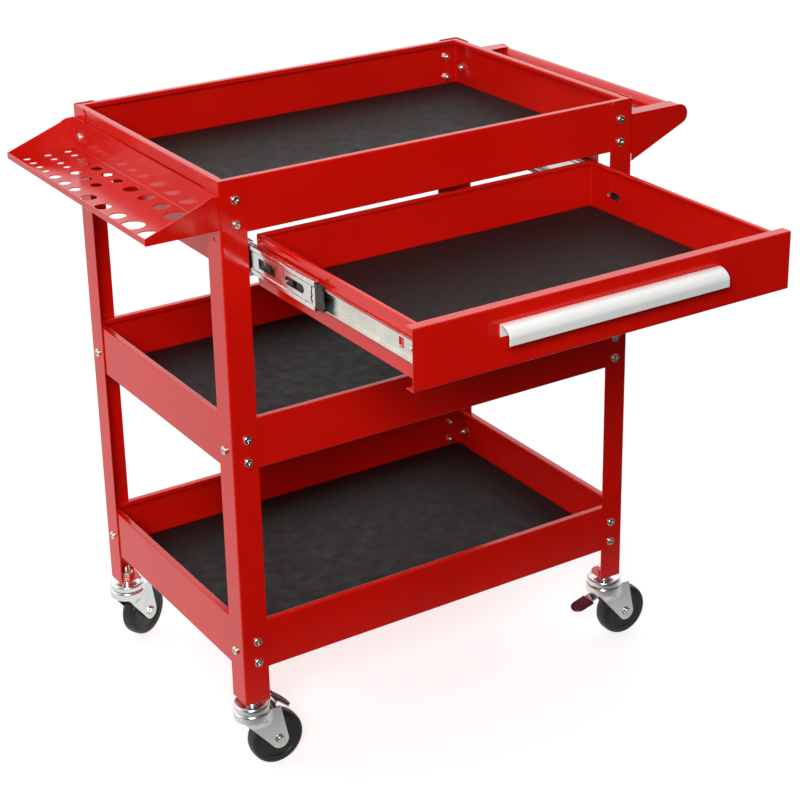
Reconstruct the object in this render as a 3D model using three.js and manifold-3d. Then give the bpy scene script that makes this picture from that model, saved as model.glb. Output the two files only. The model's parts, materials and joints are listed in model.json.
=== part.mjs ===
// Three-tier rolling tool cart with one drawer, a tool holder and a push handle.
// Millimetres, +Z up, +X along the cart towards the push handle, -Y towards the drawer's user.
// The origin is on the floor, under the middle of the cart with its drawer pulled out.

import * as THREE from 'three';
import { mergeVertices } from 'three/addons/utils/BufferGeometryUtils.js';
import Module from 'manifold-3d';

const wasm = await Module();
wasm.setup();

// ---------------------------------------------------------------- driving dimensions

const CART_LENGTH = 620; // over the posts, along X
const CART_DEPTH = 418; // over the posts, along Y
const GAP = 0.3; // between pieces that rest on each other

const POST_FOOT = 108; // height of the posts' lower ends above the floor
const POST_TOP = 826;
const POST_FLANGE = 36;
const POST_SHEET = 1.5;
const POST_BEND = 3;
const POST_CORNER = 9; // rounding of the flanges' upper corners
const FOOT_PLATE = { inset: 2, corner: 14, thickness: 2 }; // welded in the post's foot
const SPARE_HOLE = { radius: 3.2, along: 17, z: 750 }; // in each post's side flange

const TRAY_HEIGHT = 69;
const TRAY_RIM_Z = { top: 825, middle: 512, bottom: 224 };
const TRAY_SHEET = 1.2;
const TRAY_RIM = 10; // width of the rim folded inwards
const TRAY_HEM = 6; // depth of the hem folded down from the rim
const MAT = { thickness: 2, margin: 1.5, corner: 4 }; // margin: mat edge to the pan's wall

const DRAWER_OPEN = 351.5; // how far out the drawer stands, from flush
const DRAWER_FRONT = { length: 536, bottom: 675, top: 748.5, flange: 14.5, sheet: 1.2 };
const DRAWER_BOX = { length: 510, depth: 366, bottom: 680, height: 66.5, rim: 6, hem: 4 };

const SLIDE_Z = 716.5; // centre line of the ball-bearing slides
const SLIDE_SHEET = 1.2;
const SLIDE_PACK = 12.7; // drawer side to support rail
const SLIDE_MIDDLE_TRAVEL = DRAWER_OPEN / 2;
const BUFFER_LENGTH = 20; // plastic buffer at the front of each middle member

const RAIL = { sheet: 1.5, reach: 26, below: 30, inset: 20 }; // below: web's foot under SLIDE_Z

const PULL = { length: 312, reach: 20.5, top: 730, base: 16, drop: 22, crown: 12, sheet: 2.2 };
const PULL_SCREW = { x: 96, z: PULL.top - 6, radius: 2, head: 4, headHeight: 2.4 };

const HOLDER_REACH = 98;
const HOLDER_SHELF_Z = 766;
const HOLDER_TOP_Z = 808;
const HOLDER_LIP = 9;
const HOLDER_SHEET = 1.2;
const HOLDER_SHOULDER = { flat: 6, control: 13, end: 19, fall: 4 }; // curve of the end plates

const HANDLE_TOP_Z = 803.5;
const HANDLE_NOSE = 14.5; // radius of the brackets' noses
const HANDLE_REACH = 95;
const HANDLE_FOOT_Z = 738.5;
const HANDLE_TUBE = { radius: 12.2, wall: 1.2, drop: 0.2 }; // drop: its centre under the nose's
const HANDLE_PLATE = 1.5;
const HANDLE_FOLD = 22; // width of the brackets' folded tops

const WHEEL_RADIUS = 38;
const WHEEL_WIDTH = 24;
const CASTER_TRAIL = 32; // swivel axis to axle
const CASTER_INSET = 17; // swivel axis to the posts' outer faces
const CASTER_CAP_RADIUS = 25.5; // the swivelling cap under each raceway
const CASTER_OVERHANG = 24; // how far the turned rear wheel reaches behind the posts
const STEM_RADIUS = 5;
const NUT_RADIUS = 9.4; // over the corners
const FORK = { innerY: 13.5, sheet: 2.2, toe: 12.5 };
const AXLE_RADIUS = 4;
const AXLE_HEX_RADIUS = 7.2;
const PIVOT_RADIUS = 2; // cross pin of a brake pedal
const PADDLE = { halfWidth: 12, thickness: 3.6 };
const BORE_PLAY = 0.4; // between a pin and its hole

// ---------------------------------------------------------------- derived places

const REAR_Y = (CART_DEPTH + DRAWER_OPEN + PULL.reach - CASTER_OVERHANG) / 2;
const FRONT_Y = REAR_Y - CART_DEPTH;
const HALF_LENGTH = CART_LENGTH / 2;
const MIDDLE_Y = (FRONT_Y + REAR_Y) / 2;
const TRAY_HALF_X = HALF_LENGTH - POST_SHEET - GAP;
const TRAY_HALF_Y = CART_DEPTH / 2 - POST_SHEET - GAP;
const DRAWER_FACE_Y = FRONT_Y - DRAWER_OPEN;
const DRAWER_SIDE_X = DRAWER_BOX.length / 2;

// ---------------------------------------------------------------- materials

const finish = (color, roughness, metalness) =>
  new THREE.MeshStandardMaterial({ color, roughness, metalness });

const RED_PAINT = finish(0xc4120b, 0.22, 0.1);
const BLACK_MAT = finish(0x262522, 0.85, 0);
const CHROME = finish(0xd0d2d4, 0.15, 1);
const ZINC = finish(0xc9cbc6, 0.3, 1);
const ALUMINIUM = finish(0xe3e4e2, 0.35, 0.9);
const BLACK_RUBBER = finish(0x0c0c0c, 0.6, 0);
const BLACK_PLASTIC = finish(0x101010, 0.45, 0);
const MAROON_PLASTIC = finish(0x3c0e16, 0.4, 0);

// ---------------------------------------------------------------- solids

function toSolid(geometry) {
  const bare = geometry.clone();
  bare.deleteAttribute('normal');
  bare.deleteAttribute('uv');
  const merged = mergeVertices(bare, 1e-4);
  const vertProperties = new Float32Array(merged.attributes.position.array);
  const triVerts = new Uint32Array(merged.index.array);
  return new wasm.Manifold(new wasm.Mesh({ numProp: 3, vertProperties, triVerts }));
}

function toGeometry(solid) {
  const mesh = solid.getMesh();
  const geometry = new THREE.BufferGeometry();
  geometry.setAttribute('position', new THREE.BufferAttribute(mesh.vertProperties, 3));
  geometry.setIndex(new THREE.BufferAttribute(mesh.triVerts, 1));
  return geometry;
}

const joined = (solids) => solids.reduce((sum, solid) => sum.add(solid));

const box = (x0, x1, y0, y1, z0, z1) => {
  const size = [Math.abs(x1 - x0), Math.abs(y1 - y0), Math.abs(z1 - z0)];
  const geometry = new THREE.BoxGeometry(...size);
  geometry.translate((x0 + x1) / 2, (y0 + y1) / 2, (z0 + z1) / 2);
  return toSolid(geometry);
};

// An outline drawn in (x, y), (x, z) or (y, z), swept along the third axis from one place to another.
const SWEEP_BASIS = {
  z: [[1, 0, 0], [0, 1, 0], [0, 0, 1]],
  y: [[1, 0, 0], [0, 0, 1], [0, -1, 0]],
  x: [[0, 1, 0], [0, 0, 1], [1, 0, 0]],
};

function sweep(shape, axis, from, to, curveSegments = 4) {
  const depth = Math.abs(to - from);
  const geometry = new THREE.ExtrudeGeometry(shape, { depth, bevelEnabled: false, curveSegments });
  const vectors = SWEEP_BASIS[axis].map((v) => new THREE.Vector3(...v));
  geometry.applyMatrix4(new THREE.Matrix4().makeBasis(...vectors));
  const start = axis === 'y' ? Math.max(from, to) : Math.min(from, to);
  const shift = { x: [start, 0, 0], y: [0, start, 0], z: [0, 0, start] }[axis];
  geometry.translate(...shift);
  return toSolid(geometry);
}

const polygon = (points) => new THREE.Shape(points.map(([a, b]) => new THREE.Vector2(a, b)));

const mapped = (shape, place, segments = 4) =>
  polygon(shape.getPoints(segments).map((point) => place(point.x, point.y)));

function roundedRectangle(halfA, halfB, radius, [a, b]) {
  const outline = new THREE.Shape();
  outline.moveTo(a + halfA - radius, b - halfB);
  outline.absarc(a + halfA - radius, b - halfB + radius, radius, -Math.PI / 2, 0);
  outline.absarc(a + halfA - radius, b + halfB - radius, radius, 0, Math.PI / 2);
  outline.absarc(a - halfA + radius, b + halfB - radius, radius, Math.PI / 2, Math.PI);
  outline.absarc(a - halfA + radius, b - halfB + radius, radius, Math.PI, 1.5 * Math.PI);
  outline.closePath();
  return outline;
}

function circle(a, b, radius, Outline = THREE.Path) {
  const outline = new Outline();
  outline.absarc(a, b, radius, 0, 2 * Math.PI);
  return outline;
}

// A round bar along one axis; the sides of its polygon all lie within the given radius.
function bar(axis, centre, radius, from, to, sides = 12) {
  const points = [];
  for (let i = 0; i < sides; i += 1) {
    const angle = (2 * Math.PI * i) / sides;
    points.push([centre[0] + radius * Math.cos(angle), centre[1] + radius * Math.sin(angle)]);
  }
  return sweep(polygon(points), axis, from, to);
}

// The outline of a sheet of even thickness bent along a path of points.
function bentSheet(path, thickness) {
  const points = path.map(([a, b]) => new THREE.Vector2(a, b));
  const side = (sign) => points.map((point, i) => {
    const before = points[Math.max(i - 1, 0)];
    const after = points[Math.min(i + 1, points.length - 1)];
    const inward = i === 0 ? after.clone().sub(point) : point.clone().sub(before);
    const outward = i === points.length - 1 ? inward.clone() : after.clone().sub(point);
    const normalIn = new THREE.Vector2(-inward.y, inward.x).normalize();
    const normalOut = new THREE.Vector2(-outward.y, outward.x).normalize();
    const mitre = normalIn.clone().add(normalOut).normalize();
    const reach = (sign * thickness) / 2 / mitre.dot(normalIn);
    return point.clone().add(mitre.multiplyScalar(reach));
  });
  return new THREE.Shape([...side(1), ...side(-1).reverse()]);
}

// A turned solid about a vertical axis, from its (radius, height) profile.
function turned(profile, segments) {
  const points = profile.map(([r, z]) => new THREE.Vector2(r, z));
  const geometry = new THREE.LatheGeometry(points, segments);
  geometry.rotateX(Math.PI / 2);
  return toSolid(geometry);
}

// ---------------------------------------------------------------- assembly group

const cart = new THREE.Group();

function place(name, solid, material, position = [0, 0, 0], parent = cart) {
  const mesh = new THREE.Mesh(toGeometry(solid), material);
  mesh.name = name;
  mesh.position.set(...position);
  parent.add(mesh);
}

const SIDES = { left: -1, right: 1 };
const ENDS = { front: -1, rear: 1 };

// ---------------------------------------------------------------- posts

// Angle-section post with a welded foot plate for the caster's stem.
function post(sideX, endY) {
  const cornerX = sideX * HALF_LENGTH;
  const cornerY = endY < 0 ? FRONT_Y : REAR_Y;
  const toCart = (u, v) => [cornerX - sideX * u, cornerY - endY * v];

  const section = new THREE.Shape();
  section.moveTo(POST_FLANGE, 0);
  section.lineTo(POST_FLANGE, POST_SHEET);
  section.lineTo(POST_BEND, POST_SHEET);
  section.absarc(POST_BEND, POST_BEND, POST_BEND - POST_SHEET, 1.5 * Math.PI, Math.PI, true);
  section.lineTo(POST_SHEET, POST_FLANGE);
  section.lineTo(0, POST_FLANGE);
  section.lineTo(0, POST_BEND);
  section.absarc(POST_BEND, POST_BEND, POST_BEND, Math.PI, 1.5 * Math.PI, false);
  const angle = sweep(mapped(section, toCart, 3), 'z', POST_FOOT, POST_TOP);

  const footEdge = POST_FLANGE - FOOT_PLATE.inset;
  const arcCentre = footEdge - FOOT_PLATE.corner;
  const foot = new THREE.Shape();
  foot.moveTo(POST_SHEET / 2, POST_SHEET / 2);
  foot.lineTo(footEdge, POST_SHEET / 2);
  foot.lineTo(footEdge, arcCentre);
  foot.absarc(arcCentre, arcCentre, FOOT_PLATE.corner, 0, Math.PI / 2, false);
  foot.lineTo(POST_SHEET / 2, footEdge);
  foot.closePath();
  const plateTop = POST_FOOT + FOOT_PLATE.thickness;
  const plate = sweep(mapped(foot, toCart), 'z', POST_FOOT, plateTop);

  const round = new THREE.Shape();
  round.moveTo(POST_FLANGE - POST_CORNER, POST_TOP + 1);
  round.lineTo(POST_FLANGE - POST_CORNER, POST_TOP);
  round.absarc(POST_FLANGE - POST_CORNER, POST_TOP - POST_CORNER, POST_CORNER, Math.PI / 2, 0, true);
  round.lineTo(POST_FLANGE + 1, POST_TOP - POST_CORNER);
  round.lineTo(POST_FLANGE + 1, POST_TOP + 1);
  const alongX = mapped(round, (u, z) => [cornerX - sideX * u, z]);
  const alongY = mapped(round, (v, z) => [cornerY - endY * v, z]);
  const cutX = sweep(alongX, 'y', cornerY - 4, cornerY + 4);
  const cutY = sweep(alongY, 'x', cornerX - 4, cornerX + 4);

  const [stemX, stemY] = toCart(CASTER_INSET, CASTER_INSET);
  const stemHole = bar('z', [stemX, stemY], STEM_RADIUS + 0.6, POST_FOOT - 1, plateTop + 1);
  const spareAt = [toCart(0, SPARE_HOLE.along)[1], SPARE_HOLE.z];
  const spareHole = bar('x', spareAt, SPARE_HOLE.radius, cornerX - 4, cornerX + 4);
  return joined([angle, plate]).subtract(joined([cutX, cutY, stemHole, spareHole]));
}

for (const [end, endY] of Object.entries(ENDS)) {
  for (const [side, sideX] of Object.entries(SIDES)) {
    place(`post_${end}_${side}`, post(sideX, endY), RED_PAINT);
  }
}

// ---------------------------------------------------------------- trays and mats

// An open sheet-metal pan whose walls end in a rim folded inwards and a hem folded down.
function pan(halfX, halfY, centreY, bottom, height, sheet, rim, hem) {
  const hollow = (inset, z0, z1) => box(
    inset - halfX, halfX - inset, centreY + inset - halfY, centreY + halfY - inset, z0, z1);
  const top = bottom + height;
  const block = sweep(
    roundedRectangle(halfX, halfY, POST_BEND, [0, centreY]), 'z', bottom, top, 2);
  const underHem = hollow(sheet, bottom + sheet, top - hem);
  const behindHem = hollow(sheet, top - hem - 1, top - sheet).subtract(
    hollow(rim - sheet, top - hem - 2, top));
  const mouth = hollow(rim, top - hem - 1, top + 1);
  return block.subtract(joined([underHem, behindHem, mouth]));
}

// A mat that lies in a pan of the given outside size, on its floor.
function mat(panHalfX, panHalfY, centreY, floorZ) {
  const margin = TRAY_SHEET + MAT.margin;
  const shape = roundedRectangle(panHalfX - margin, panHalfY - margin, MAT.corner, [0, centreY]);
  return sweep(shape, 'z', floorZ + GAP, floorZ + GAP + MAT.thickness, 2);
}

for (const [tier, rimZ] of Object.entries(TRAY_RIM_Z)) {
  const bottom = rimZ - TRAY_HEIGHT;
  const tray = pan(
    TRAY_HALF_X, TRAY_HALF_Y, MIDDLE_Y, bottom, TRAY_HEIGHT, TRAY_SHEET, TRAY_RIM, TRAY_HEM);
  place(`tray_${tier}`, tray, RED_PAINT);
  const liner = mat(TRAY_HALF_X, TRAY_HALF_Y, MIDDLE_Y, bottom + TRAY_SHEET);
  place(`mat_${tier}`, liner, BLACK_MAT);
}

// ---------------------------------------------------------------- drawer support rails

const RAIL_X = DRAWER_SIDE_X + SLIDE_PACK + GAP; // inner face of the rails' webs

for (const [side, sideX] of Object.entries(SIDES)) {
  const webX = RAIL_X + RAIL.sheet / 2;
  const topZ = TRAY_RIM_Z.top - TRAY_HEIGHT - GAP - RAIL.sheet / 2;
  const path = [[webX, SLIDE_Z - RAIL.below], [webX, topZ], [RAIL_X + RAIL.reach, topZ]];
  const section = bentSheet(path.map(([x, z]) => [sideX * x, z]), RAIL.sheet);
  const rail = sweep(section, 'y', FRONT_Y + RAIL.inset, REAR_Y - RAIL.inset);
  place(`drawer_rail_${side}`, rail, RED_PAINT);
}

// ---------------------------------------------------------------- ball-bearing slides

// Each section is drawn as (distance from the drawer side, height from the centre line).
const SLIDE_SECTIONS = {
  outer: [[3.2, 21.9], [11.8, 21.9], [11.8, -21.9], [3.2, -21.9]],
  middle: [[3.0, 17.6], [9.6, 17.6], [9.6, 12.8], [8.2, 11], [8.2, -11],
    [9.6, -12.8], [9.6, -17.6], [3.0, -17.6]],
  inner: [[6.2, 12.3], [0.9, 12.3], [0.9, -12.3], [6.2, -12.3]],
  buffer: [[3.2, 14.6], [8.9, 14.6], [8.9, -14.6], [3.2, -14.6]],
};

function slideMember(kind, sideX, y0, y1) {
  const toCart = ([d, z]) => [sideX * (DRAWER_SIDE_X + d), SLIDE_Z + z];
  return sweep(bentSheet(SLIDE_SECTIONS[kind].map(toCart), SLIDE_SHEET), 'y', y0, y1);
}

// Openings in a slide's web: a square-cornered window and a slot with round ends.
const slideDepth = (sideX) => [sideX * DRAWER_SIDE_X, sideX * (DRAWER_SIDE_X + SLIDE_PACK)];

const slideWindow = (sideX, y, halfLength, halfHeight) => box(
  ...slideDepth(sideX), y - halfLength, y + halfLength, SLIDE_Z - halfHeight, SLIDE_Z + halfHeight);

function slideSlot(sideX, y, halfLength, halfHeight) {
  const shape = roundedRectangle(halfLength, halfHeight, halfHeight - 0.1, [y, SLIDE_Z]);
  return sweep(shape, 'x', ...slideDepth(sideX), 3);
}

const OUTER_SLIDE_Y = [FRONT_Y + 16, FRONT_Y + 366];
const MIDDLE_SLIDE_Y = [FRONT_Y + 36 - SLIDE_MIDDLE_TRAVEL, FRONT_Y + 361 - SLIDE_MIDDLE_TRAVEL];
const INNER_SLIDE_Y = [DRAWER_FACE_Y + DRAWER_FRONT.sheet + 0.55, DRAWER_FACE_Y + 365];

for (const [side, sideX] of Object.entries(SIDES)) {
  const outer = slideMember('outer', sideX, ...OUTER_SLIDE_Y);
  place(`slide_outer_${side}`, outer, CHROME);

  const [frontY, backY] = MIDDLE_SLIDE_Y;
  const slots = [
    slideSlot(sideX, frontY + 36, 11, 5),
    slideWindow(sideX, frontY + 105, 9, 5.5),
    slideWindow(sideX, backY - 60, 9, 5.5),
  ];
  const middle = slideMember('middle', sideX, frontY, backY).subtract(joined(slots));
  place(`slide_middle_${side}`, middle, CHROME);

  const buffer = slideMember('buffer', sideX, frontY - BUFFER_LENGTH, frontY - GAP);
  place(`slide_buffer_${side}`, buffer, BLACK_PLASTIC);

  const windows = [
    slideWindow(sideX, INNER_SLIDE_Y[0] + 30, 3.5, 6),
    slideWindow(sideX, INNER_SLIDE_Y[0] + 230, 3.5, 6),
  ];
  const inner = slideMember('inner', sideX, ...INNER_SLIDE_Y).subtract(joined(windows));
  place(`slide_inner_${side}`, inner, ZINC);
}

// ---------------------------------------------------------------- drawer

const BOX_FRONT_Y = DRAWER_FACE_Y + DRAWER_FRONT.sheet + GAP;
const BOX_HALF_DEPTH = DRAWER_BOX.depth / 2;
const BOX_CENTRE_Y = BOX_FRONT_Y + BOX_HALF_DEPTH;

const pullScrewHoles = (radius) => [-1, 1].map(
  (s) => bar('y', [s * PULL_SCREW.x, PULL_SCREW.z], radius, DRAWER_FACE_Y - 5, DRAWER_FACE_Y + 12));

const drawerBox = pan(
  DRAWER_SIDE_X, BOX_HALF_DEPTH, BOX_CENTRE_Y, DRAWER_BOX.bottom, DRAWER_BOX.height,
  DRAWER_FRONT.sheet, DRAWER_BOX.rim, DRAWER_BOX.hem);
place('drawer_box', drawerBox.subtract(joined(pullScrewHoles(3))), RED_PAINT);

const drawerFloorZ = DRAWER_BOX.bottom + DRAWER_FRONT.sheet;
place('drawer_mat', mat(DRAWER_SIDE_X, BOX_HALF_DEPTH, BOX_CENTRE_Y, drawerFloorZ), BLACK_MAT);

function drawerFront() {
  const { length, bottom, top, sheet, flange } = DRAWER_FRONT;
  const halfX = length / 2;
  const halfZ = (top - bottom) / 2;
  const face = roundedRectangle(halfX, halfZ, 1.5, [0, bottom + halfZ]);
  const block = sweep(face, 'y', DRAWER_FACE_Y, DRAWER_FACE_Y + flange, 2);
  const backY = DRAWER_FACE_Y + flange + 1;
  const hollow = box(
    -halfX - 1, halfX + 1, DRAWER_FACE_Y + sheet, backY, bottom + sheet, top - sheet);
  return block.subtract(joined([hollow, ...pullScrewHoles(3)]));
}

place('drawer_front', drawerFront(), RED_PAINT);

// The pull is one bent strip: a base on the panel, a crowned top and a lip to hook fingers under.
function pull() {
  const back = DRAWER_FACE_Y - GAP - PULL.sheet / 2;
  const reach = PULL.reach - GAP - PULL.sheet;
  const path = [[back, PULL.top - PULL.base], [back, PULL.top - 1.5]];
  const crownSteps = 6;
  for (let i = 1; i <= crownSteps; i += 1) {
    const angle = (Math.PI / 2) * (i / crownSteps);
    const fall = PULL.crown * (1 - Math.cos(angle));
    path.push([back - reach * Math.sin(angle), PULL.top - PULL.sheet / 2 - fall]);
  }
  path.push([back - reach, PULL.top - PULL.drop]);
  const strip = sweep(bentSheet(path, PULL.sheet), 'x', -PULL.length / 2, PULL.length / 2);
  return strip.subtract(joined(pullScrewHoles(PULL_SCREW.radius + BORE_PLAY)));
}

place('drawer_pull', pull(), ALUMINIUM);

for (const [side, sideX] of Object.entries(SIDES)) {
  const at = [sideX * PULL_SCREW.x, PULL_SCREW.z];
  const backY = BOX_FRONT_Y + DRAWER_FRONT.sheet + GAP;
  const shank = bar('y', at, PULL_SCREW.radius, DRAWER_FACE_Y - 3.2, backY + 0.5);
  const head = bar('y', at, PULL_SCREW.head, backY, backY + PULL_SCREW.headHeight);
  place(`pull_screw_${side}`, joined([shank, head]), ZINC);
}

// ---------------------------------------------------------------- tool holder

// Rows run along the shelf, each hole as [distance from the rear end, radius].
const SMALL_HOLES = [18, 39, 60, 81].map((along) => [along, 5]);
const MEDIUM_HOLES = [111, 142.5, 174].map((along) => [along, 8]);
const LARGE_HOLES = [215, 258, 300].map((along) => [along, 11]);
const GIANT_HOLES = [342, 386].map((along) => [along, 16]);
const HOLE_ROWS = [
  { out: 19.5, holes: [...SMALL_HOLES, ...MEDIUM_HOLES, ...LARGE_HOLES, ...GIANT_HOLES] },
  { out: 48.5, holes: [...SMALL_HOLES, ...MEDIUM_HOLES] },
  { out: 78, holes: [...SMALL_HOLES, ...MEDIUM_HOLES, ...LARGE_HOLES, ...GIANT_HOLES] },
];

function toolHolder() {
  const innerX = -HALF_LENGTH - GAP;
  const outerX = -HALF_LENGTH - HOLDER_REACH;
  const shelf = new THREE.Shape();
  shelf.moveTo(innerX, FRONT_Y);
  shelf.lineTo(innerX, REAR_Y);
  shelf.lineTo(outerX, REAR_Y);
  shelf.lineTo(outerX, FRONT_Y);
  shelf.closePath();
  for (const row of HOLE_ROWS) {
    for (const [along, radius] of row.holes) {
      shelf.holes.push(circle(-HALF_LENGTH - row.out, REAR_Y - along, radius));
    }
  }
  const shelfTop = HOLDER_SHELF_Z + HOLDER_SHEET;
  const lipTop = HOLDER_SHELF_Z + HOLDER_LIP;
  const { flat, control, end, fall } = HOLDER_SHOULDER;
  const endPlate = new THREE.Shape();
  endPlate.moveTo(outerX, HOLDER_SHELF_Z);
  endPlate.lineTo(innerX, HOLDER_SHELF_Z);
  endPlate.lineTo(innerX, HOLDER_TOP_Z);
  endPlate.lineTo(innerX - flat, HOLDER_TOP_Z);
  endPlate.quadraticCurveTo(innerX - control, HOLDER_TOP_Z, innerX - end, HOLDER_TOP_Z - fall);
  endPlate.lineTo(outerX, lipTop);
  endPlate.closePath();
  return joined([
    sweep(shelf, 'z', HOLDER_SHELF_Z, shelfTop, 4),
    box(innerX - HOLDER_SHEET, innerX, FRONT_Y, REAR_Y, HOLDER_SHELF_Z, HOLDER_TOP_Z),
    box(outerX, outerX + HOLDER_SHEET, FRONT_Y, REAR_Y, HOLDER_SHELF_Z, lipTop),
    sweep(endPlate, 'y', FRONT_Y, FRONT_Y + HOLDER_SHEET, 3),
    sweep(endPlate, 'y', REAR_Y - HOLDER_SHEET, REAR_Y, 3),
  ]);
}

place('tool_holder', toolHolder(), RED_PAINT);

// ---------------------------------------------------------------- push handle

const NOSE_X = HALF_LENGTH + HANDLE_REACH - HANDLE_NOSE;
const NOSE_Z = HANDLE_TOP_Z - HANDLE_NOSE;

// Side plate with a rounded nose, a folded top and a folded mounting flange on the post.
function handleBracket(endY) {
  const postX = HALF_LENGTH + GAP;
  const faceY = endY < 0 ? FRONT_Y : REAR_Y;
  const innerY = faceY - endY * HANDLE_PLATE;
  const run = NOSE_X - postX;
  const drop = NOSE_Z - HANDLE_FOOT_Z;
  const tangent = Math.atan2(drop, run) + Math.asin(HANDLE_NOSE / Math.hypot(run, drop)) - Math.PI / 2;
  const plate = new THREE.Shape();
  plate.moveTo(postX, HANDLE_FOOT_Z);
  plate.absarc(NOSE_X, NOSE_Z, HANDLE_NOSE, tangent, Math.PI / 2, false);
  plate.lineTo(postX, HANDLE_TOP_Z);
  plate.closePath();
  const foldY = faceY - endY * HANDLE_FOLD;
  const flangeY = faceY - endY * (POST_FLANGE - 2);
  return joined([
    sweep(plate, 'y', faceY, innerY, 8),
    box(postX, NOSE_X, faceY, foldY, HANDLE_TOP_Z - HANDLE_PLATE, HANDLE_TOP_Z),
    box(postX, postX + HANDLE_PLATE, faceY, flangeY, HANDLE_FOOT_Z, HANDLE_TOP_Z),
  ]);
}

for (const [end, endY] of Object.entries(ENDS)) {
  place(`handle_bracket_${end}`, handleBracket(endY), RED_PAINT);
}

function handleTube() {
  const { radius, wall, drop } = HANDLE_TUBE;
  const ring = circle(NOSE_X, NOSE_Z - drop, radius, THREE.Shape);
  ring.holes.push(circle(NOSE_X, NOSE_Z - drop, radius - wall));
  const inset = HANDLE_PLATE + GAP;
  return sweep(ring, 'y', FRONT_Y + inset, REAR_Y - inset, 12);
}

place('handle_tube', handleTube(), RED_PAINT);

// ---------------------------------------------------------------- casters

// Everything here is drawn about the swivel axis, with the wheel trailing towards +X.
const WHEEL_SEGMENTS = 24;

// From below: the kingpin's head, the upper race, the collar under the post and the stem.
function stem() {
  return turned([
    [0, 84], [10, 84], [10, 87.6], [6, 87.6], [6, 93], [24.5, 93], [24.5, 99.5], [22, 102],
    [17, 99], [9.5, 100], [9.5, 107.7], [STEM_RADIUS, 107.7], [STEM_RADIUS, 126], [0, 126],
  ], 16);
}

const hexagon = (radius) => {
  const points = [];
  for (let i = 0; i < 6; i += 1) {
    const angle = (Math.PI * i) / 3;
    points.push([radius * Math.cos(angle), radius * Math.sin(angle)]);
  }
  return polygon(points);
};

function stemNut() {
  const bottom = POST_FOOT + FOOT_PLATE.thickness + GAP;
  const nut = sweep(hexagon(NUT_RADIUS), 'z', bottom, POST_FOOT + 10);
  return nut.subtract(bar('z', [0, 0], STEM_RADIUS + 0.45, POST_FOOT, POST_FOOT + 12));
}

const FORK_OUTER_Y = FORK.innerY + FORK.sheet;
const BOLT_SEAT_Y = FORK_OUTER_Y + GAP;

// A round cap with two flat legs, tied by a web over the wheel.
function fork(pivot) {
  const rim = CASTER_CAP_RADIUS;
  const cap = turned([
    [6.5, 88], [rim - 2.5, 88], [rim - 2.5, 80], [rim, 80], [rim, 90], [rim - 3.5, 92.5],
    [6.5, 92.5], [6.5, 88],
  ], 20);
  const leg = new THREE.Shape();
  leg.moveTo(-19, 89.5);
  leg.lineTo(-19, 80);
  leg.absarc(CASTER_TRAIL, WHEEL_RADIUS, FORK.toe, Math.PI * 1.22, Math.PI * 2.05, false);
  leg.lineTo(35, 87);
  leg.lineTo(20, 89.5);
  leg.closePath();
  const legs = [-1, 1].map((s) => sweep(leg, 'y', s * FORK.innerY, s * FORK_OUTER_Y, 5));
  const webY = FORK_OUTER_Y - 0.4;
  const web = box(11.5, 23, -webY, webY, 81, 83.2);
  const axleHole = bar('y', [CASTER_TRAIL, WHEEL_RADIUS], AXLE_RADIUS + BORE_PLAY, -30, 30);
  const solid = joined([cap, ...legs, web]).subtract(axleHole);
  return pivot ? solid.subtract(bar('y', pivot, PIVOT_RADIUS + BORE_PLAY, -30, 30, 8)) : solid;
}

function wheel() {
  const half = WHEEL_WIDTH / 2;
  const solid = turned([
    [4.6, -half - 1], [10, -half - 1], [26, -half], [33, -half], [37, -half + 4],
    [38, -half + 8], [38, half - 8], [37, half - 4], [33, half], [26, half],
    [10, half + 1], [4.6, half + 1], [4.6, -half - 1],
  ], WHEEL_SEGMENTS);
  const geometry = toGeometry(solid);
  geometry.rotateX(Math.PI / 2);
  return toSolid(geometry);
}

function axleBolt() {
  return joined([
    bar('y', [0, 0], AXLE_RADIUS, -BOLT_SEAT_Y - 1, BOLT_SEAT_Y + 6),
    sweep(hexagon(AXLE_HEX_RADIUS), 'y', -BOLT_SEAT_Y - 4.2, -BOLT_SEAT_Y),
  ]);
}

function axleNut() {
  const nut = sweep(hexagon(AXLE_HEX_RADIUS), 'y', BOLT_SEAT_Y, BOLT_SEAT_Y + 5);
  return nut.subtract(bar('y', [0, 0], AXLE_RADIUS + BORE_PLAY, 0, BOLT_SEAT_Y + 8));
}

// A paddle with a rounded toe on an arm that turns about a cross pin in the fork's legs.
function brakePedal({ pivot, toe, heel }) {
  const { halfWidth, thickness } = PADDLE;
  const dx = toe[0] - heel[0];
  const dz = toe[1] - heel[1];
  const length = Math.hypot(dx, dz);
  const paddle = new THREE.Shape();
  paddle.moveTo(0, -halfWidth);
  paddle.lineTo(length - halfWidth, -halfWidth);
  paddle.absarc(length - halfWidth, 0, halfWidth, -Math.PI / 2, Math.PI / 2, false);
  paddle.lineTo(0, halfWidth);
  paddle.closePath();
  const options = { depth: thickness, bevelEnabled: false, curveSegments: 6 };
  const geometry = new THREE.ExtrudeGeometry(paddle, options);
  geometry.rotateY(-Math.atan2(dz, dx));
  geometry.translate(heel[0], 0, heel[1]);
  const armPath = [pivot, [heel[0] + 0.3 * dx, heel[1] + 0.3 * dz]];
  return joined([
    toSolid(geometry),
    sweep(bentSheet(armPath, 5), 'y', -11, 11),
    bar('y', pivot, PIVOT_RADIUS, -FORK_OUTER_Y, FORK_OUTER_Y),
  ]);
}

// Each caster as it stands: its corner, its swivel angle in degrees from trailing towards +X, and its
// brake. The casters without a pedal are at the rear.
const CASTERS = [
  { name: 'front_left', at: [-1, -1], swivel: 0, brake: 'trailing' },
  { name: 'front_right', at: [1, -1], swivel: 0, brake: 'leading' },
  { name: 'rear_left', at: [-1, 1], swivel: 28, brake: null },
  { name: 'rear_right', at: [1, 1], swivel: 0, brake: null },
];

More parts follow.
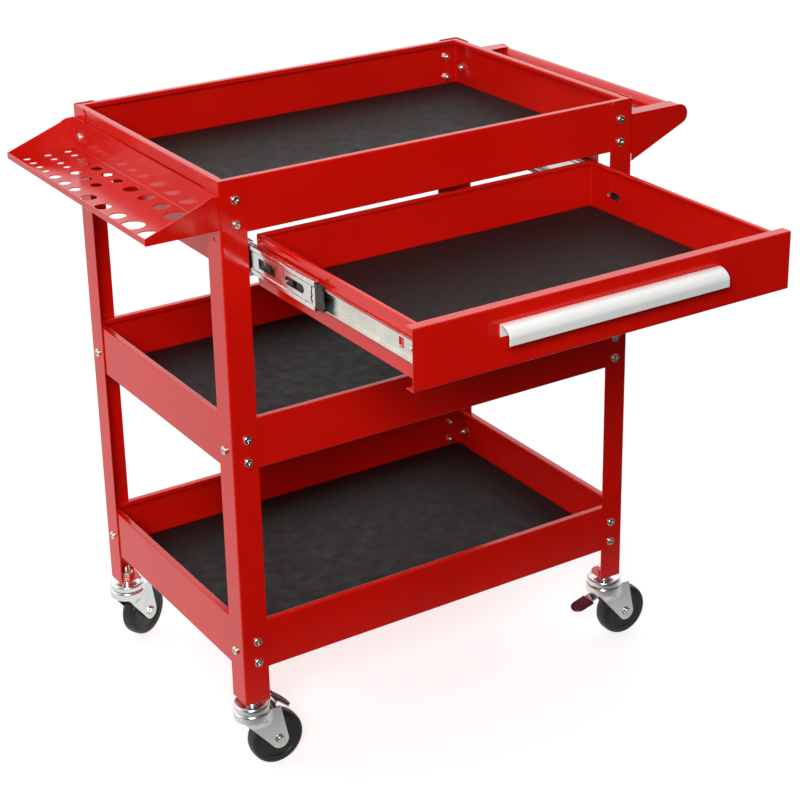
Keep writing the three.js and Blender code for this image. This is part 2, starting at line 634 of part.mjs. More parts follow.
// Places are (x, z) about the swivel axis.
const BRAKES = {
  leading: { pivot: [-9, 77], toe: [-57, 64], heel: [-27, 72] },
  trailing: { pivot: [30, 81], toe: [53, 78], heel: [31, 98] },
};

for (const caster of CASTERS) {
  const group = new THREE.Group();
  const x = caster.at[0] * (HALF_LENGTH - CASTER_INSET);
  const y = caster.at[1] < 0 ? FRONT_Y + CASTER_INSET : REAR_Y - CASTER_INSET;
  group.position.set(x, y, 0);
  group.rotation.z = THREE.MathUtils.degToRad(caster.swivel);
  cart.add(group);
  const brake = BRAKES[caster.brake];
  const axle = [CASTER_TRAIL, 0, WHEEL_RADIUS];
  place(`caster_stem_${caster.name}`, stem(), CHROME, [0, 0, 0], group);
  place(`caster_nut_${caster.name}`, stemNut(), ZINC, [0, 0, 0], group);
  place(`caster_fork_${caster.name}`, fork(brake?.pivot), CHROME, [0, 0, 0], group);
  place(`caster_axle_${caster.name}`, axleBolt(), ZINC, axle, group);
  place(`caster_axle_nut_${caster.name}`, axleNut(), ZINC, axle, group);
  place(`caster_wheel_${caster.name}`, wheel(), BLACK_RUBBER, axle, group);
  if (brake) {
    place(`brake_pedal_${caster.name}`, brakePedal(brake), MAROON_PLASTIC, [0, 0, 0], group);
  }
}

export default cart;
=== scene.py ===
# %% [markdown]
# # A rolling tool cart
#
# The cart is folded steel sheet: four angle posts, three lipped trays, a drawer on ball-bearing
# slides, a perforated tool holder, a push handle and four swivel casters.
# The engineering model gives every piece its place and size. This lesson gives each one the
# shape, the edges and the finish that the real piece has.

# %% Load the frame and note its size
import json
import math
import bmesh
import bpy
from mathutils import Matrix, Vector


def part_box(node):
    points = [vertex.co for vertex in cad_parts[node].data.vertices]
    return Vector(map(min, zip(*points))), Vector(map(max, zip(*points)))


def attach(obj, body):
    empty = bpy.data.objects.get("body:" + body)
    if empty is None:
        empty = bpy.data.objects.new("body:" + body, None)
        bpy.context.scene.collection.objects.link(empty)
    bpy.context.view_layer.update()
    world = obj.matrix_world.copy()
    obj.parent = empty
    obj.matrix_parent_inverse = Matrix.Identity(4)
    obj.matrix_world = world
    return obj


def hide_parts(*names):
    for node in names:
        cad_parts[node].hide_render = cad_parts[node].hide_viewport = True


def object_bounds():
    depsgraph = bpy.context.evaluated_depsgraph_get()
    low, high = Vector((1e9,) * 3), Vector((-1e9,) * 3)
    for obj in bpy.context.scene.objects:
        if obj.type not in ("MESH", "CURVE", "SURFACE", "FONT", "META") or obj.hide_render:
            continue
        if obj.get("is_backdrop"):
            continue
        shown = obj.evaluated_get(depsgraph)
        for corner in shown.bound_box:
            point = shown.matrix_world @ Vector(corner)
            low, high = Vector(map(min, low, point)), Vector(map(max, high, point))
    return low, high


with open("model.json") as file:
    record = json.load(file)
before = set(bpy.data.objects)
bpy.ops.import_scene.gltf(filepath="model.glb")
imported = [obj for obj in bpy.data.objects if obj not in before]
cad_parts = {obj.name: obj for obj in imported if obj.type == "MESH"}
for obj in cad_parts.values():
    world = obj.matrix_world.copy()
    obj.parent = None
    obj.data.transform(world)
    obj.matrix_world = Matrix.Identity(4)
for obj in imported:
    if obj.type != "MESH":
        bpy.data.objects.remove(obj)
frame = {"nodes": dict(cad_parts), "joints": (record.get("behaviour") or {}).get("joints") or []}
engineering_box = [list(corner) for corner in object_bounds()]
MM = 0.001

# %% [markdown]
# ## Finishes
#
# Every finish is a node material read in Object coordinates, so it stays on its piece when the
# piece moves. A fine noise drives the bump, a slow one drives small changes of colour and
# roughness. Even a new powder coat has a faint orange peel, and flat sheet is never quite flat.


# %% A helper that starts a finish
def start_finish(name, colour, roughness, metallic=0.0, **sockets):
    finish = bpy.data.materials.new(name)
    finish.use_nodes = True
    shader = finish.node_tree.nodes["Principled BSDF"]
    shader.inputs["Base Color"].default_value = (*colour, 1.0)
    shader.inputs["Roughness"].default_value = roughness
    shader.inputs["Metallic"].default_value = metallic
    for socket, value in sockets.items():
        shader.inputs[socket.replace("_", " ")].default_value = value
    return finish


def add_node(finish, kind, **inputs):
    node = finish.node_tree.nodes.new(kind)
    for socket, value in inputs.items():
        node.inputs[socket.replace("_", " ")].default_value = value
    return node


def object_coordinates(finish, stretch=(1.0, 1.0, 1.0)):
    links = finish.node_tree.links
    place = add_node(finish, "ShaderNodeTexCoord")
    mapping = add_node(finish, "ShaderNodeMapping", Scale=stretch)
    links.new(place.outputs["Object"], mapping.inputs["Vector"])
    return mapping.outputs["Vector"]


def noise(finish, vector, scale, detail=2.0):
    node = add_node(finish, "ShaderNodeTexNoise", Scale=scale, Detail=detail)
    finish.node_tree.links.new(vector, node.inputs["Vector"])
    return node.outputs["Fac"]


# %% Helpers that vary a finish over the surface
def vary_colour(finish, factor, low, high):
    links = finish.node_tree.links
    ramp = finish.node_tree.nodes.new("ShaderNodeValToRGB")
    ramp.color_ramp.elements[0].position = 0.3
    ramp.color_ramp.elements[1].position = 0.7
    ramp.color_ramp.elements[0].color = (*low, 1.0)
    ramp.color_ramp.elements[1].color = (*high, 1.0)
    links.new(factor, ramp.inputs["Fac"])
    shader = finish.node_tree.nodes["Principled BSDF"]
    links.new(ramp.outputs["Color"], shader.inputs["Base Color"])


def vary_roughness(finish, factor, low, high):
    links = finish.node_tree.links
    span = add_node(finish, "ShaderNodeMapRange", From_Min=0.3, From_Max=0.7, To_Min=low, To_Max=high)
    links.new(factor, span.inputs["Value"])
    shader = finish.node_tree.nodes["Principled BSDF"]
    links.new(span.outputs["Result"], shader.inputs["Roughness"])


def add_bump(finish, height, depth, strength=1.0):
    """Adds one layer of relief, depth metres from its lowest to its highest."""
    nodes = finish.node_tree.nodes
    links = finish.node_tree.links
    shader = nodes["Principled BSDF"]
    bump = add_node(finish, "ShaderNodeBump", Strength=strength, Distance=depth)
    links.new(height, bump.inputs["Height"])
    earlier = [link.from_socket for link in links if link.to_socket == shader.inputs["Normal"]]
    if earlier:
        links.new(earlier[0], bump.inputs["Normal"])
    links.new(bump.outputs["Normal"], shader.inputs["Normal"])


# %% [markdown]
# The paint is a deep red with a sharp gloss. Two bumps are laid on it: a peel about a millimetre
# across, and a slow wave of the sheet that bends long reflections.


# %% Red powder coat
def red_paint():
    finish = start_finish("red_paint", (0.62, 0.0048, 0.0012), 0.16, IOR=1.5)
    place = object_coordinates(finish)
    patches = noise(finish, place, 7.0)
    vary_colour(finish, patches, (0.58, 0.0042, 0.001), (0.66, 0.0055, 0.0015))
    vary_roughness(finish, noise(finish, place, 22.0, 4.0), 0.12, 0.2)
    add_bump(finish, noise(finish, place, 9.0, 0.0), 0.0006)
    add_bump(finish, noise(finish, place, 650.0, 1.0), 0.00002)
    return finish


# %% Liner mats: soft black sheet with a leather-like grain
def mat_rubber():
    finish = start_finish("mat_rubber", (0.006, 0.0056, 0.005), 0.62, Specular_IOR_Level=0.35)
    place = object_coordinates(finish)
    vary_colour(finish, noise(finish, place, 5.0, 3.0), (0.005, 0.0046, 0.0041), (0.007, 0.0066, 0.006))
    vary_roughness(finish, noise(finish, place, 60.0, 3.0), 0.55, 0.72)
    grain = add_node(finish, "ShaderNodeTexVoronoi", Scale=520.0)
    finish.node_tree.links.new(place, grain.inputs["Vector"])
    add_bump(finish, grain.outputs["Distance"], 0.00018)
    add_bump(finish, noise(finish, place, 1400.0, 1.0), 0.00006)
    return finish


# %% Metals
def plated_steel(name, colour, shade, roughness, lines, metallic=1.0):
    """Plated sheet steel. Its polish lines run along X and Y, as they do on rolled strip."""
    finish = start_finish(name, colour, roughness[0], metallic)
    place = object_coordinates(finish)
    vary_colour(finish, noise(finish, place, 35.0, 4.0), shade, colour)
    vary_roughness(finish, noise(finish, place, 90.0, 4.0), *roughness)
    streaks = noise(finish, object_coordinates(finish, (60.0, 60.0, 2400.0)), 1.0, 2.0)
    add_bump(finish, streaks, lines)
    return finish


# %% Moulded plastics and the tyres
def moulded(name, low, high, roughness, grain_scale, grain_depth):
    finish = start_finish(name, low, roughness[0], Specular_IOR_Level=0.4)
    place = object_coordinates(finish)
    vary_colour(finish, noise(finish, place, 40.0, 3.0), low, high)
    vary_roughness(finish, noise(finish, place, 120.0, 3.0), *roughness)
    add_bump(finish, noise(finish, place, grain_scale, 2.0), grain_depth)
    return finish


# %% The set of finishes, each named as the record names its slot
FINISH = {
    "red_paint": red_paint(),
    "mat_rubber": mat_rubber(),
    "chrome_steel": plated_steel(
        "chrome_steel", (0.84, 0.85, 0.83), (0.74, 0.75, 0.74), (0.16, 0.28), 0.00001),
    "zinc_steel": plated_steel(
        "zinc_steel", (0.82, 0.81, 0.74), (0.68, 0.67, 0.60), (0.22, 0.38), 0.00002),
    "pull_aluminium": plated_steel(
        "pull_aluminium", (0.97, 0.975, 0.96), (0.94, 0.945, 0.93), (0.34, 0.42), 0.00001, 0.2),
    "wheel_rubber": moulded(
        "wheel_rubber", (0.006, 0.006, 0.006), (0.011, 0.011, 0.010), (0.32, 0.5), 900.0, 0.00004),
    "black_plastic": moulded(
        "black_plastic", (0.007, 0.007, 0.008), (0.013, 0.013, 0.013), (0.3, 0.45), 1500.0, 0.00003),
    "pedal_plastic": moulded(
        "pedal_plastic", (0.050, 0.004, 0.009), (0.075, 0.007, 0.014), (0.26, 0.4), 1200.0, 0.00003),
}
print("finishes:", ", ".join(FINISH))

# %% [markdown]
# ## Camera, floor and light
#
# A long lens from the front left, a little above the trays. The floor and the backdrop look pale
# from every side, but the light they give is not even. A Light Path node in each of them keeps what
# the camera sees apart from what lights the cart, and that light fades towards the front. So left
# faces and rims get pale reflections, and front faces stay deep red. No finish on the cart does this.

# %% Camera
SENSOR = 36.0
LENS = 87.2
CAMERA_PLACE = Vector((-1.2813, -1.9735, 1.5239))
CAMERA_YAW, CAMERA_PITCH, CAMERA_ROLL = (math.radians(a) for a in (32.18, 21.5, -1.08))


def aim(yaw, pitch, roll):
    """The camera's turn, from its compass angle off +Y, its angle below level and its roll."""
    forward = Vector((
        math.sin(yaw) * math.cos(pitch), math.cos(yaw) * math.cos(pitch), -math.sin(pitch)))
    level = Vector((math.cos(yaw), -math.sin(yaw), 0.0))
    upright = level.cross(forward)
    right = level * math.cos(roll) + upright * math.sin(roll)
    up = upright * math.cos(roll) - level * math.sin(roll)
    return Matrix((right, up, -forward)).transposed().to_4x4()


lens = bpy.data.cameras.new("camera")
lens.lens = LENS
lens.sensor_width = SENSOR
lens.shift_y = -0.125
camera = bpy.data.objects.new("camera", lens)
camera.matrix_world = Matrix.Translation(CAMERA_PLACE) @ aim(CAMERA_YAW, CAMERA_PITCH, CAMERA_ROLL)
bpy.context.scene.collection.objects.link(camera)
bpy.context.scene.camera = camera
bpy.context.scene.view_settings.view_transform = "Standard"
print("camera at", [round(v, 3) for v in CAMERA_PLACE])


# %% Floor
def studio_floor():
    """A pale floor. The light it throws back fades towards the front, as beside a black flag."""
    half = 14.0
    floor_mesh = bpy.data.meshes.new("studio_floor")
    corners = [(-half, -half, 0.0), (half, -half, 0.0), (half, half, 0.0), (-half, half, 0.0)]
    floor_mesh.from_pydata(corners, [], [(0, 1, 2, 3)])
    floor = bpy.data.objects.new("studio_floor", floor_mesh)
    bpy.context.scene.collection.objects.link(floor)
    pale = start_finish("pale_floor", (0.42, 0.42, 0.42), 0.75, Specular_IOR_Level=0.1)
    place = object_coordinates(pale)
    vary_colour(pale, noise(pale, place, 1.2, 3.0), (0.41, 0.41, 0.41), (0.43, 0.43, 0.43))
    nodes, links = pale.node_tree.nodes, pale.node_tree.links
    shader = nodes["Principled BSDF"]
    shader.inputs["Emission Color"].default_value = (1.0, 1.0, 1.0, 1.0)
    shader.inputs["Emission Strength"].default_value = 0.7
    split = nodes.new("ShaderNodeSeparateXYZ")
    links.new(place, split.inputs["Vector"])
    front = add_node(pale, "ShaderNodeMapRange", From_Min=-0.35, From_Max=0.1, To_Min=0.02, To_Max=0.85)
    front.interpolation_type = "SMOOTHSTEP"
    links.new(split.outputs["Y"], front.inputs["Value"])
    bounce = nodes.new("ShaderNodeEmission")
    links.new(front.outputs["Result"], bounce.inputs["Strength"])
    ray = nodes.new("ShaderNodeLightPath")
    chosen = nodes.new("ShaderNodeMixShader")
    links.new(ray.outputs["Is Camera Ray"], chosen.inputs[0])
    links.new(bounce.outputs["Emission"], chosen.inputs[1])
    links.new(shader.outputs["BSDF"], chosen.inputs[2])
    links.new(chosen.outputs["Shader"], nodes["Material Output"].inputs["Surface"])
    floor_mesh.materials.append(pale)
    floor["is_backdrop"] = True


studio_floor()


# %% Lights
def softbox(name, place, target, size, power):
    light = bpy.data.lights.new(name, "AREA")
    light.shape = "RECTANGLE"
    light.size, light.size_y = size
    light.energy = power
    box_light = bpy.data.objects.new(name, light)
    box_light.location = place
    box_light.rotation_euler = (Vector(target) - Vector(place)).to_track_quat("-Z", "Y").to_euler()
    bpy.context.scene.collection.objects.link(box_light)


softbox("key_light", (-1.9, -2.5, 2.3), (0.0, 0.0, 0.45), (1.2, 1.2), 106.0)


def studio_dome():
    """White backdrop on every side. The light it gives falls off towards the front."""
    world = bpy.data.worlds.new("studio_dome")
    world.use_nodes = True
    nodes, links = world.node_tree.nodes, world.node_tree.links
    direction = nodes.new("ShaderNodeTexCoord")
    split = nodes.new("ShaderNodeSeparateXYZ")
    links.new(direction.outputs["Generated"], split.inputs["Vector"])
    behind = nodes.new("ShaderNodeMapRange")
    behind.interpolation_type = "SMOOTHSTEP"
    for socket, value in {"From Min": -0.4, "From Max": 0.5, "To Min": 0.12, "To Max": 1.3}.items():
        behind.inputs[socket].default_value = value
    links.new(split.outputs["Y"], behind.inputs["Value"])
    background = nodes["Background"]
    background.inputs["Color"].default_value = (1.0, 1.0, 1.0, 1.0)
    ray = nodes.new("ShaderNodeLightPath")
    seen = nodes.new("ShaderNodeMath")
    seen.operation = "MAXIMUM"
    links.new(ray.outputs["Is Camera Ray"], seen.inputs[0])
    links.new(behind.outputs["Result"], seen.inputs[1])
    links.new(seen.outputs["Value"], background.inputs["Strength"])
    bpy.context.scene.world = world


studio_dome()

# %% [markdown]
# ## Ways to make folded sheet
#
# Sheet metal is a line with a thickness. So each folded part starts as the line of its section,
# every corner of the line becomes an arc of the bend's radius, and the outline is that line moved
# half the sheet's thickness to each side. Swept straight, the outline is a strip or a channel. Run
# round a rectangle, it is a tray.


# %% Outlines with bends
def bend(points, radius, step=math.radians(15)):
    """Puts an arc in each inner corner of an open path."""
    path = [Vector(p) for p in points]
    rounded = [path[0]]
    for before, corner, after in zip(path, path[1:], path[2:]):
        back = (before - corner).normalized()
        ahead = (after - corner).normalized()
        half_angle = back.angle(ahead) / 2
        reach = radius / math.tan(half_angle)
        centre = corner + (back + ahead).normalized() * (radius / math.sin(half_angle))
        arm = corner + back * reach - centre
        last_arm = corner + ahead * reach - centre
        sweep = math.atan2(arm.x * last_arm.y - arm.y * last_arm.x, arm.dot(last_arm))
        steps = max(1, math.ceil(abs(sweep) / step))
        for i in range(steps + 1):
            rounded.append(centre + Matrix.Rotation(sweep * i / steps, 2) @ arm)
    rounded.append(path[-1])
    return rounded


def aside(path, distance):
    """The path moved sideways, to its left for a positive distance."""
    moved = []
    for i, point in enumerate(path):
        before = point - path[i - 1] if i else path[1] - point
        after = path[i + 1] - point if i + 1 < len(path) else before
        normals = [Vector((-v.y, v.x)).normalized() for v in (before, after)]
        mitre = (normals[0] + normals[1]).normalized()
        moved.append(point + mitre * (distance / mitre.dot(normals[0])))
    return moved


def folded(points, sheet, radius):
    """The closed outline of a sheet bent along a path."""
    middle = bend(points, radius) if radius else [Vector(p) for p in points]
    return aside(middle, sheet / 2) + aside(middle, -sheet / 2)[::-1]


def round_corners(points, radius, step=math.radians(15)):
    """A closed outline with an arc in every corner."""
    closed = [points[-1], *points, points[0]]
    return bend(closed, radius, step)[1:-1]


def arc(centre, radius, start, end, steps):
    """Points on an arc between two angles in degrees."""
    angles = [math.radians(start + (end - start) * i / steps) for i in range(steps + 1)]
    return [(centre[0] + radius * math.cos(a), centre[1] + radius * math.sin(a)) for a in angles]


# %% From outlines to meshes
def skin(shape, rings, capped=True):
    """Joins rings of points with faces and closes the two ends."""
    loops = [[shape.verts.new(point) for point in ring] for ring in rings]
    for low, high in zip(loops, loops[1:]):
        for i in range(len(low)):
            j = (i + 1) % len(low)
            shape.faces.new((low[i], low[j], high[j], high[i]))
    if capped:
        shape.faces.new(loops[0][::-1])
        shape.faces.new(loops[-1])
    return shape


AXIS_PLACE = {
    "x": lambda a, b, t: (t, a, b),
    "y": lambda a, b, t: (a, t, b),
    "z": lambda a, b, t: (a, b, t),
}


def prism(outline, axis, start, end, shape=None):
    """An outline, drawn in the other two axes, run straight along one axis."""
    place = AXIS_PLACE[axis]
    rings = [[place(a, b, t) for a, b in outline] for t in (start, end)]
    return skin(shape or bmesh.new(), rings)


def turned(profile, segments=64, shape=None):
    """A solid turned about Z from its (radius, height) profile, which starts and ends on the axis
    or closes on itself."""
    shape = shape or bmesh.new()
    turns = [2 * math.pi * i / segments for i in range(segments)]
    on_axis = profile[0][0] == 0 and profile[-1][0] == 0
    body = profile[1:-1] if on_axis else profile
    loops = []
    for radius, height in body:
        ring = [(radius * math.cos(a), radius * math.sin(a), height) for a in turns]
        loops.append([shape.verts.new(p) for p in ring])
    pairs = list(zip(loops, loops[1:])) + ([] if on_axis else [(loops[-1], loops[0])])
    for low, high in pairs:
        for i in range(segments):
            j = (i + 1) % segments
            shape.faces.new((low[i], low[j], high[j], high[i]))
    if on_axis:
        for (_, height), loop in ((profile[0], loops[0]), (profile[-1], loops[-1])):
            pole = shape.verts.new((0.0, 0.0, height))
            for i in range(segments):
                shape.faces.new((pole, loop[i], loop[(i + 1) % segments]))
    return shape


# %% [markdown]
# ## Finishing a piece
#
# A real edge always catches a little light, so sharp edges get a narrow bevel. Weighted normals
# then keep the flat faces flat, although their neighbours are rounded. Both modifiers are applied
# at once, so a finished piece is a plain mesh.


# %% Helpers that finish and place a piece
def as_object(name, shape):
    mesh = bpy.data.meshes.new(name)
    bmesh.ops.recalc_face_normals(shape, faces=shape.faces)
    shape.to_mesh(mesh)
    shape.free()
    obj = bpy.data.objects.new(name, mesh)
    bpy.context.scene.collection.objects.link(obj)
    return obj


def apply_modifiers(obj):
    evaluated = obj.evaluated_get(bpy.context.evaluated_depsgraph_get())
    result = bpy.data.meshes.new_from_object(evaluated)
    result.name = obj.name
    obj.modifiers.clear()
    obj.data = result


def cut(obj, cutter, operation="DIFFERENCE"):
    """Cuts a piece with another, or joins them, and deletes the other."""
    boolean = obj.modifiers.new("cut", "BOOLEAN")
    boolean.operation = operation
    boolean.solver = "EXACT"
    boolean.object = cutter
    apply_modifiers(obj)
    bpy.data.objects.remove(cutter)


def round_edges(obj, width, angle=35):
    """Bevels the sharp edges and keeps the flat faces flat."""
    obj.data.shade_smooth()
    if width:
        bevel = obj.modifiers.new("bevel", "BEVEL")
        bevel.width = width
        bevel.segments = 2
        bevel.limit_method = "ANGLE"
        bevel.angle_limit = math.radians(angle)
    else:
        obj.data.set_sharp_from_angle(angle=math.radians(angle))
    weighted = obj.modifiers.new("weighted", "WEIGHTED_NORMAL")
    weighted.keep_sharp = True
    apply_modifiers(obj)


def put_in(obj, finish, body, *replaced):
    obj.data.materials.clear()
    obj.data.materials.append(FINISH[finish])
    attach(obj, body)
    if replaced:
        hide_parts(*replaced)
    return obj


def fine_copy(node, bevel):
    """A merged copy of an engineering piece with finer edges."""
    shape = bmesh.new()
    shape.from_mesh(frame["nodes"][node].data)
    bmesh.ops.remove_doubles(shape, verts=shape.verts, dist=0.01 * MM)
    bmesh.ops.dissolve_limit(
        shape, angle_limit=math.radians(0.5), verts=shape.verts, edges=shape.edges)
    obj = as_object(f"{node}_fine", shape)
    round_edges(obj, bevel)
    return obj


# %% [markdown]
# ## Frame
#
# Posts and drawer rails have the right shape already. They only need their burr edges taken off, so
# each is a merged copy with a bevel of a third of a millimetre.

# %% Posts and drawer rails
SIDES = {"left": -1, "right": 1}
ENDS = {"front": -1, "rear": 1}
plain_nodes = [f"post_{end}_{side}" for end in ENDS for side in SIDES]
plain_nodes += [f"drawer_rail_{side}" for side in SIDES]
for node in plain_nodes:
    put_in(fine_copy(node, 0.3 * MM), "red_paint", "cart", node)
print("finished copies:", len(plain_nodes))

# %% [markdown]
# ## Trays and the drawer box
#
# A pan is one sheet: floor, wall, a rim folded in and a hem folded down from it. Its section is a
# folded line, and each point of the outline becomes a rounded rectangle at its own inset and
# height. Corners outside are round, and corners inside are nearly sharp, as on a pressed pan.


# %% Pans
def rectangle_ring(low, high, inset, height, corner):
    """A rounded rectangle, always with the same number of points."""
    radius = max(corner - inset, 0.08 * MM)
    half_x = (high.x - low.x) / 2 - inset
    half_y = (high.y - low.y) / 2 - inset
    centre = (low + high) / 2
    ring = []
    for quadrant, (sx, sy) in enumerate(((1, 1), (-1, 1), (-1, -1), (1, -1))):
        corner_centre = (centre.x + sx * (half_x - radius), centre.y + sy * (half_y - radius))
        turn = 90 * quadrant
        ring += [(x, y, height) for x, y in arc(corner_centre, radius, turn, turn + 90, 5)]
    return ring


def pan(node, sheet, rim, hem, corner, bend_radius):
    low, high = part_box(node)
    half = sheet / 2
    line = [
        (8 * MM, low.z + half),
        (half, low.z + half),
        (half, high.z - half),
        (rim - half, high.z - half),
        (rim - half, high.z - hem),
    ]
    outline = folded(line, sheet, bend_radius)
    rings = [rectangle_ring(low, high, inset, height, corner) for inset, height in outline]
    obj = as_object(f"{node}_folded", skin(bmesh.new(), rings))
    round_edges(obj, 0)
    return obj


TRAY_SHEET = 1.2 * MM
for tier in ("top", "middle", "bottom"):
    tray = pan(f"tray_{tier}", TRAY_SHEET, 10 * MM, 6 * MM, 3 * MM, 1.1 * MM)
    put_in(tray, "red_paint", "cart", f"tray_{tier}")

# %% [markdown]
# The drawer box is a smaller pan of the same kind. Its side walls have one slot each, near the
# back, which shows the slide behind it.


# %% Drawer box with its slots
def slot_outline(centre, half_length, radius):
    right = arc((centre[0] + half_length - radius, centre[1]), radius, -90, 90, 10)
    left = arc((centre[0] - half_length + radius, centre[1]), radius, 90, 270, 10)
    return right + left


drawer_box = pan("drawer_box", TRAY_SHEET, 6 * MM, 4 * MM, 3 * MM, 1.1 * MM)
box_low, box_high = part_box("drawer_box")
SLOT_PLACE = (box_high.y - 50 * MM, box_low.z + 28 * MM)
for x in (box_low.x, box_high.x):
    hole = prism(slot_outline(SLOT_PLACE, 14 * MM, 4.8 * MM), "x", x - 5 * MM, x + 5 * MM)
    cut(drawer_box, as_object("slot_cutter", hole))
round_edges(drawer_box, 0)
put_in(drawer_box, "red_paint", "drawer", "drawer_box")
print("pans: 3 trays and the drawer box")


# %% Liner mats, with a soft upper edge
def liner(node, body):
    low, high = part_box(node)
    profile = [(3 * MM, low.z), (0.2 * MM, low.z), (0.0, low.z + 0.3 * MM)]
    profile += [(0.0, high.z - 0.8 * MM), (0.25 * MM, high.z - 0.3 * MM), (0.9 * MM, high.z)]
    rings = [rectangle_ring(low, high, inset, height, 4 * MM) for inset, height in profile]
    obj = as_object(f"{node}_liner", skin(bmesh.new(), rings))
    round_edges(obj, 0, 60)
    put_in(obj, "mat_rubber", body, node)


for tier in ("top", "middle", "bottom"):
    liner(f"mat_{tier}", "cart")
liner("drawer_mat", "drawer")

# %% [markdown]
# ## Drawer front and pull
#
# The front is one sheet with its top and bottom edges folded back towards the cart. Its ends stay
# open, so the slides run right up to it. The pull is an extrusion: a flat foot, a crowned top and
# a lip.


# %% Drawer front
def drawer_front():
    low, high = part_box("drawer_front")
    half = TRAY_SHEET / 2
    line = [(high.y, low.z + half), (low.y + half, low.z + half),
            (low.y + half, high.z - half), (high.y, high.z - half)]
    section = folded(line, TRAY_SHEET, 1.2 * MM)
    obj = as_object("drawer_front_folded", prism(section, "x", low.x, high.x))
    round_edges(obj, 0.25 * MM, 40)
    put_in(obj, "red_paint", "drawer", "drawer_front")


drawer_front()


# %% Pull
def drawer_pull():
    low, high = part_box("drawer_pull")
    thick = 2.2 * MM
    back = high.y - thick / 2
    front = low.y + thick / 2
    reach = back - front
    crown = 12 * MM
    foot = [(back, high.z - 16 * MM), (back, high.z - 1.6 * MM)]
    steps = 14
    crowned = []
    for i in range(1, steps + 1):
        angle = math.pi / 2 * i / steps
        drop = crown * (1 - math.cos(angle))
        crowned.append((back - reach * math.sin(angle), high.z - thick / 2 - drop))
    lip = [(front, low.z + 0.6 * MM)]
    outline = folded([*foot, *crowned, *lip], thick, 0)
    obj = as_object("drawer_pull_extrusion", prism(outline, "x", low.x, high.x))
    round_edges(obj, 0.45 * MM, 40)
    put_in(obj, "pull_aluminium", "drawer", "drawer_pull")


drawer_pull()

# %% [markdown]
# ## Slides
#
# Each ball-bearing slide is three nested channels. Their flanges are rolled round the balls, so
# each section is a folded line with generous bends. The balls run in two rows between each pair of
# channels, held in a black cage.

# %% Slide sections, as (distance from the drawer's side, height from the slide's centre line)
SLIDE_SHEET = 1.2 * MM
SLIDE_LINES = {
    "outer": [(3.8, 20.4), (4.4, 21.9), (11.8, 21.9), (11.8, -21.9), (4.4, -21.9), (3.8, -20.4)],
    "middle": [(3.0, 17.6), (9.6, 17.6), (9.6, 12.8), (8.2, 11.0), (8.2, -11.0), (9.6, -12.8),
               (9.6, -17.6), (3.0, -17.6)],
    "inner": [(6.2, 12.3), (0.9, 12.3), (0.9, -12.3), (6.2, -12.3)],
}
SLIDE_BEND = {"outer": 0.9, "middle": 0.9, "inner": 1.2}


def drawer_side(side):
    return box_high.x if side == "right" else box_low.x


def slide_channel(kind, side, finish, body, windows):
    """One channel; its windows are outlines in (place along it, height)."""
    node = f"slide_{kind}_{side}"
    low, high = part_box(node)
    middle_z = (low.z + high.z) / 2
    side_x = drawer_side(side)
    line = [(side_x + SIDES[side] * d * MM, middle_z + z * MM) for d, z in SLIDE_LINES[kind]]
    outline = folded(line, SLIDE_SHEET, SLIDE_BEND[kind] * MM)
    obj = as_object(f"{node}_rolled", prism(outline, "y", low.y, high.y))
    for window in windows:
        reach = sorted((side_x, side_x + SIDES[side] * 13 * MM))
        cut(obj, as_object("window_cutter", prism(window, "x", *reach)))
    round_edges(obj, 0, 30)
    put_in(obj, finish, body, node)


def window_outline(centre, half_length, half_height):
    y, z = centre
    corners = [(y - half_length, z - half_height), (y + half_length, z - half_height),
               (y + half_length, z + half_height), (y - half_length, z + half_height)]
    return round_corners(corners, 1 * MM)


# %% The six channels, with their windows
slide_low, slide_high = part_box("slide_middle_left")
SLIDE_Z = (slide_low.z + slide_high.z) / 2
middle_front = slide_low.y
inner_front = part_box("slide_inner_left")[0].y
outer_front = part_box("slide_outer_left")[0].y

# a hooked cutout for the buffer's catch, then a slot and the windows behind it
hook = [(5.5, 10.5), (9.5, 10.5), (9, 6), (11, 3), (9, 0), (11, -4), (9, -10), (5.5, -10),
        (7.5, -4), (6, 0), (7.5, 4)]
middle_windows = [
    [(middle_front + y * MM, SLIDE_Z + z * MM) for y, z in hook],
    slot_outline((middle_front + 48 * MM, SLIDE_Z), 22 * MM, 5.5 * MM),
    window_outline((middle_front + 115 * MM, SLIDE_Z), 20 * MM, 6.5 * MM),
    window_outline((middle_front + 205 * MM, SLIDE_Z), 9 * MM, 5.5 * MM),
    window_outline((middle_front + 265 * MM, SLIDE_Z), 9 * MM, 5.5 * MM),
]
inner_windows = [
    window_outline((inner_front + 38.5 * MM, SLIDE_Z + 1 * MM), 5 * MM, 6 * MM),
    slot_outline((inner_front + 250 * MM, SLIDE_Z), 6 * MM, 3 * MM),
    slot_outline(SLOT_PLACE, 10 * MM, 4 * MM),
]
outer_windows = [slot_outline((outer_front + a * MM, SLIDE_Z), 6 * MM, 3 * MM)
                 for a in (24, 120, 216, 312)]
for side in SIDES:
    slide_channel("outer", side, "chrome_steel", "cart", outer_windows)
    slide_channel("middle", side, "chrome_steel", f"slide_{side}", middle_windows)
    slide_channel("inner", side, "zinc_steel", "drawer", inner_windows)
print("slide channels: 6")


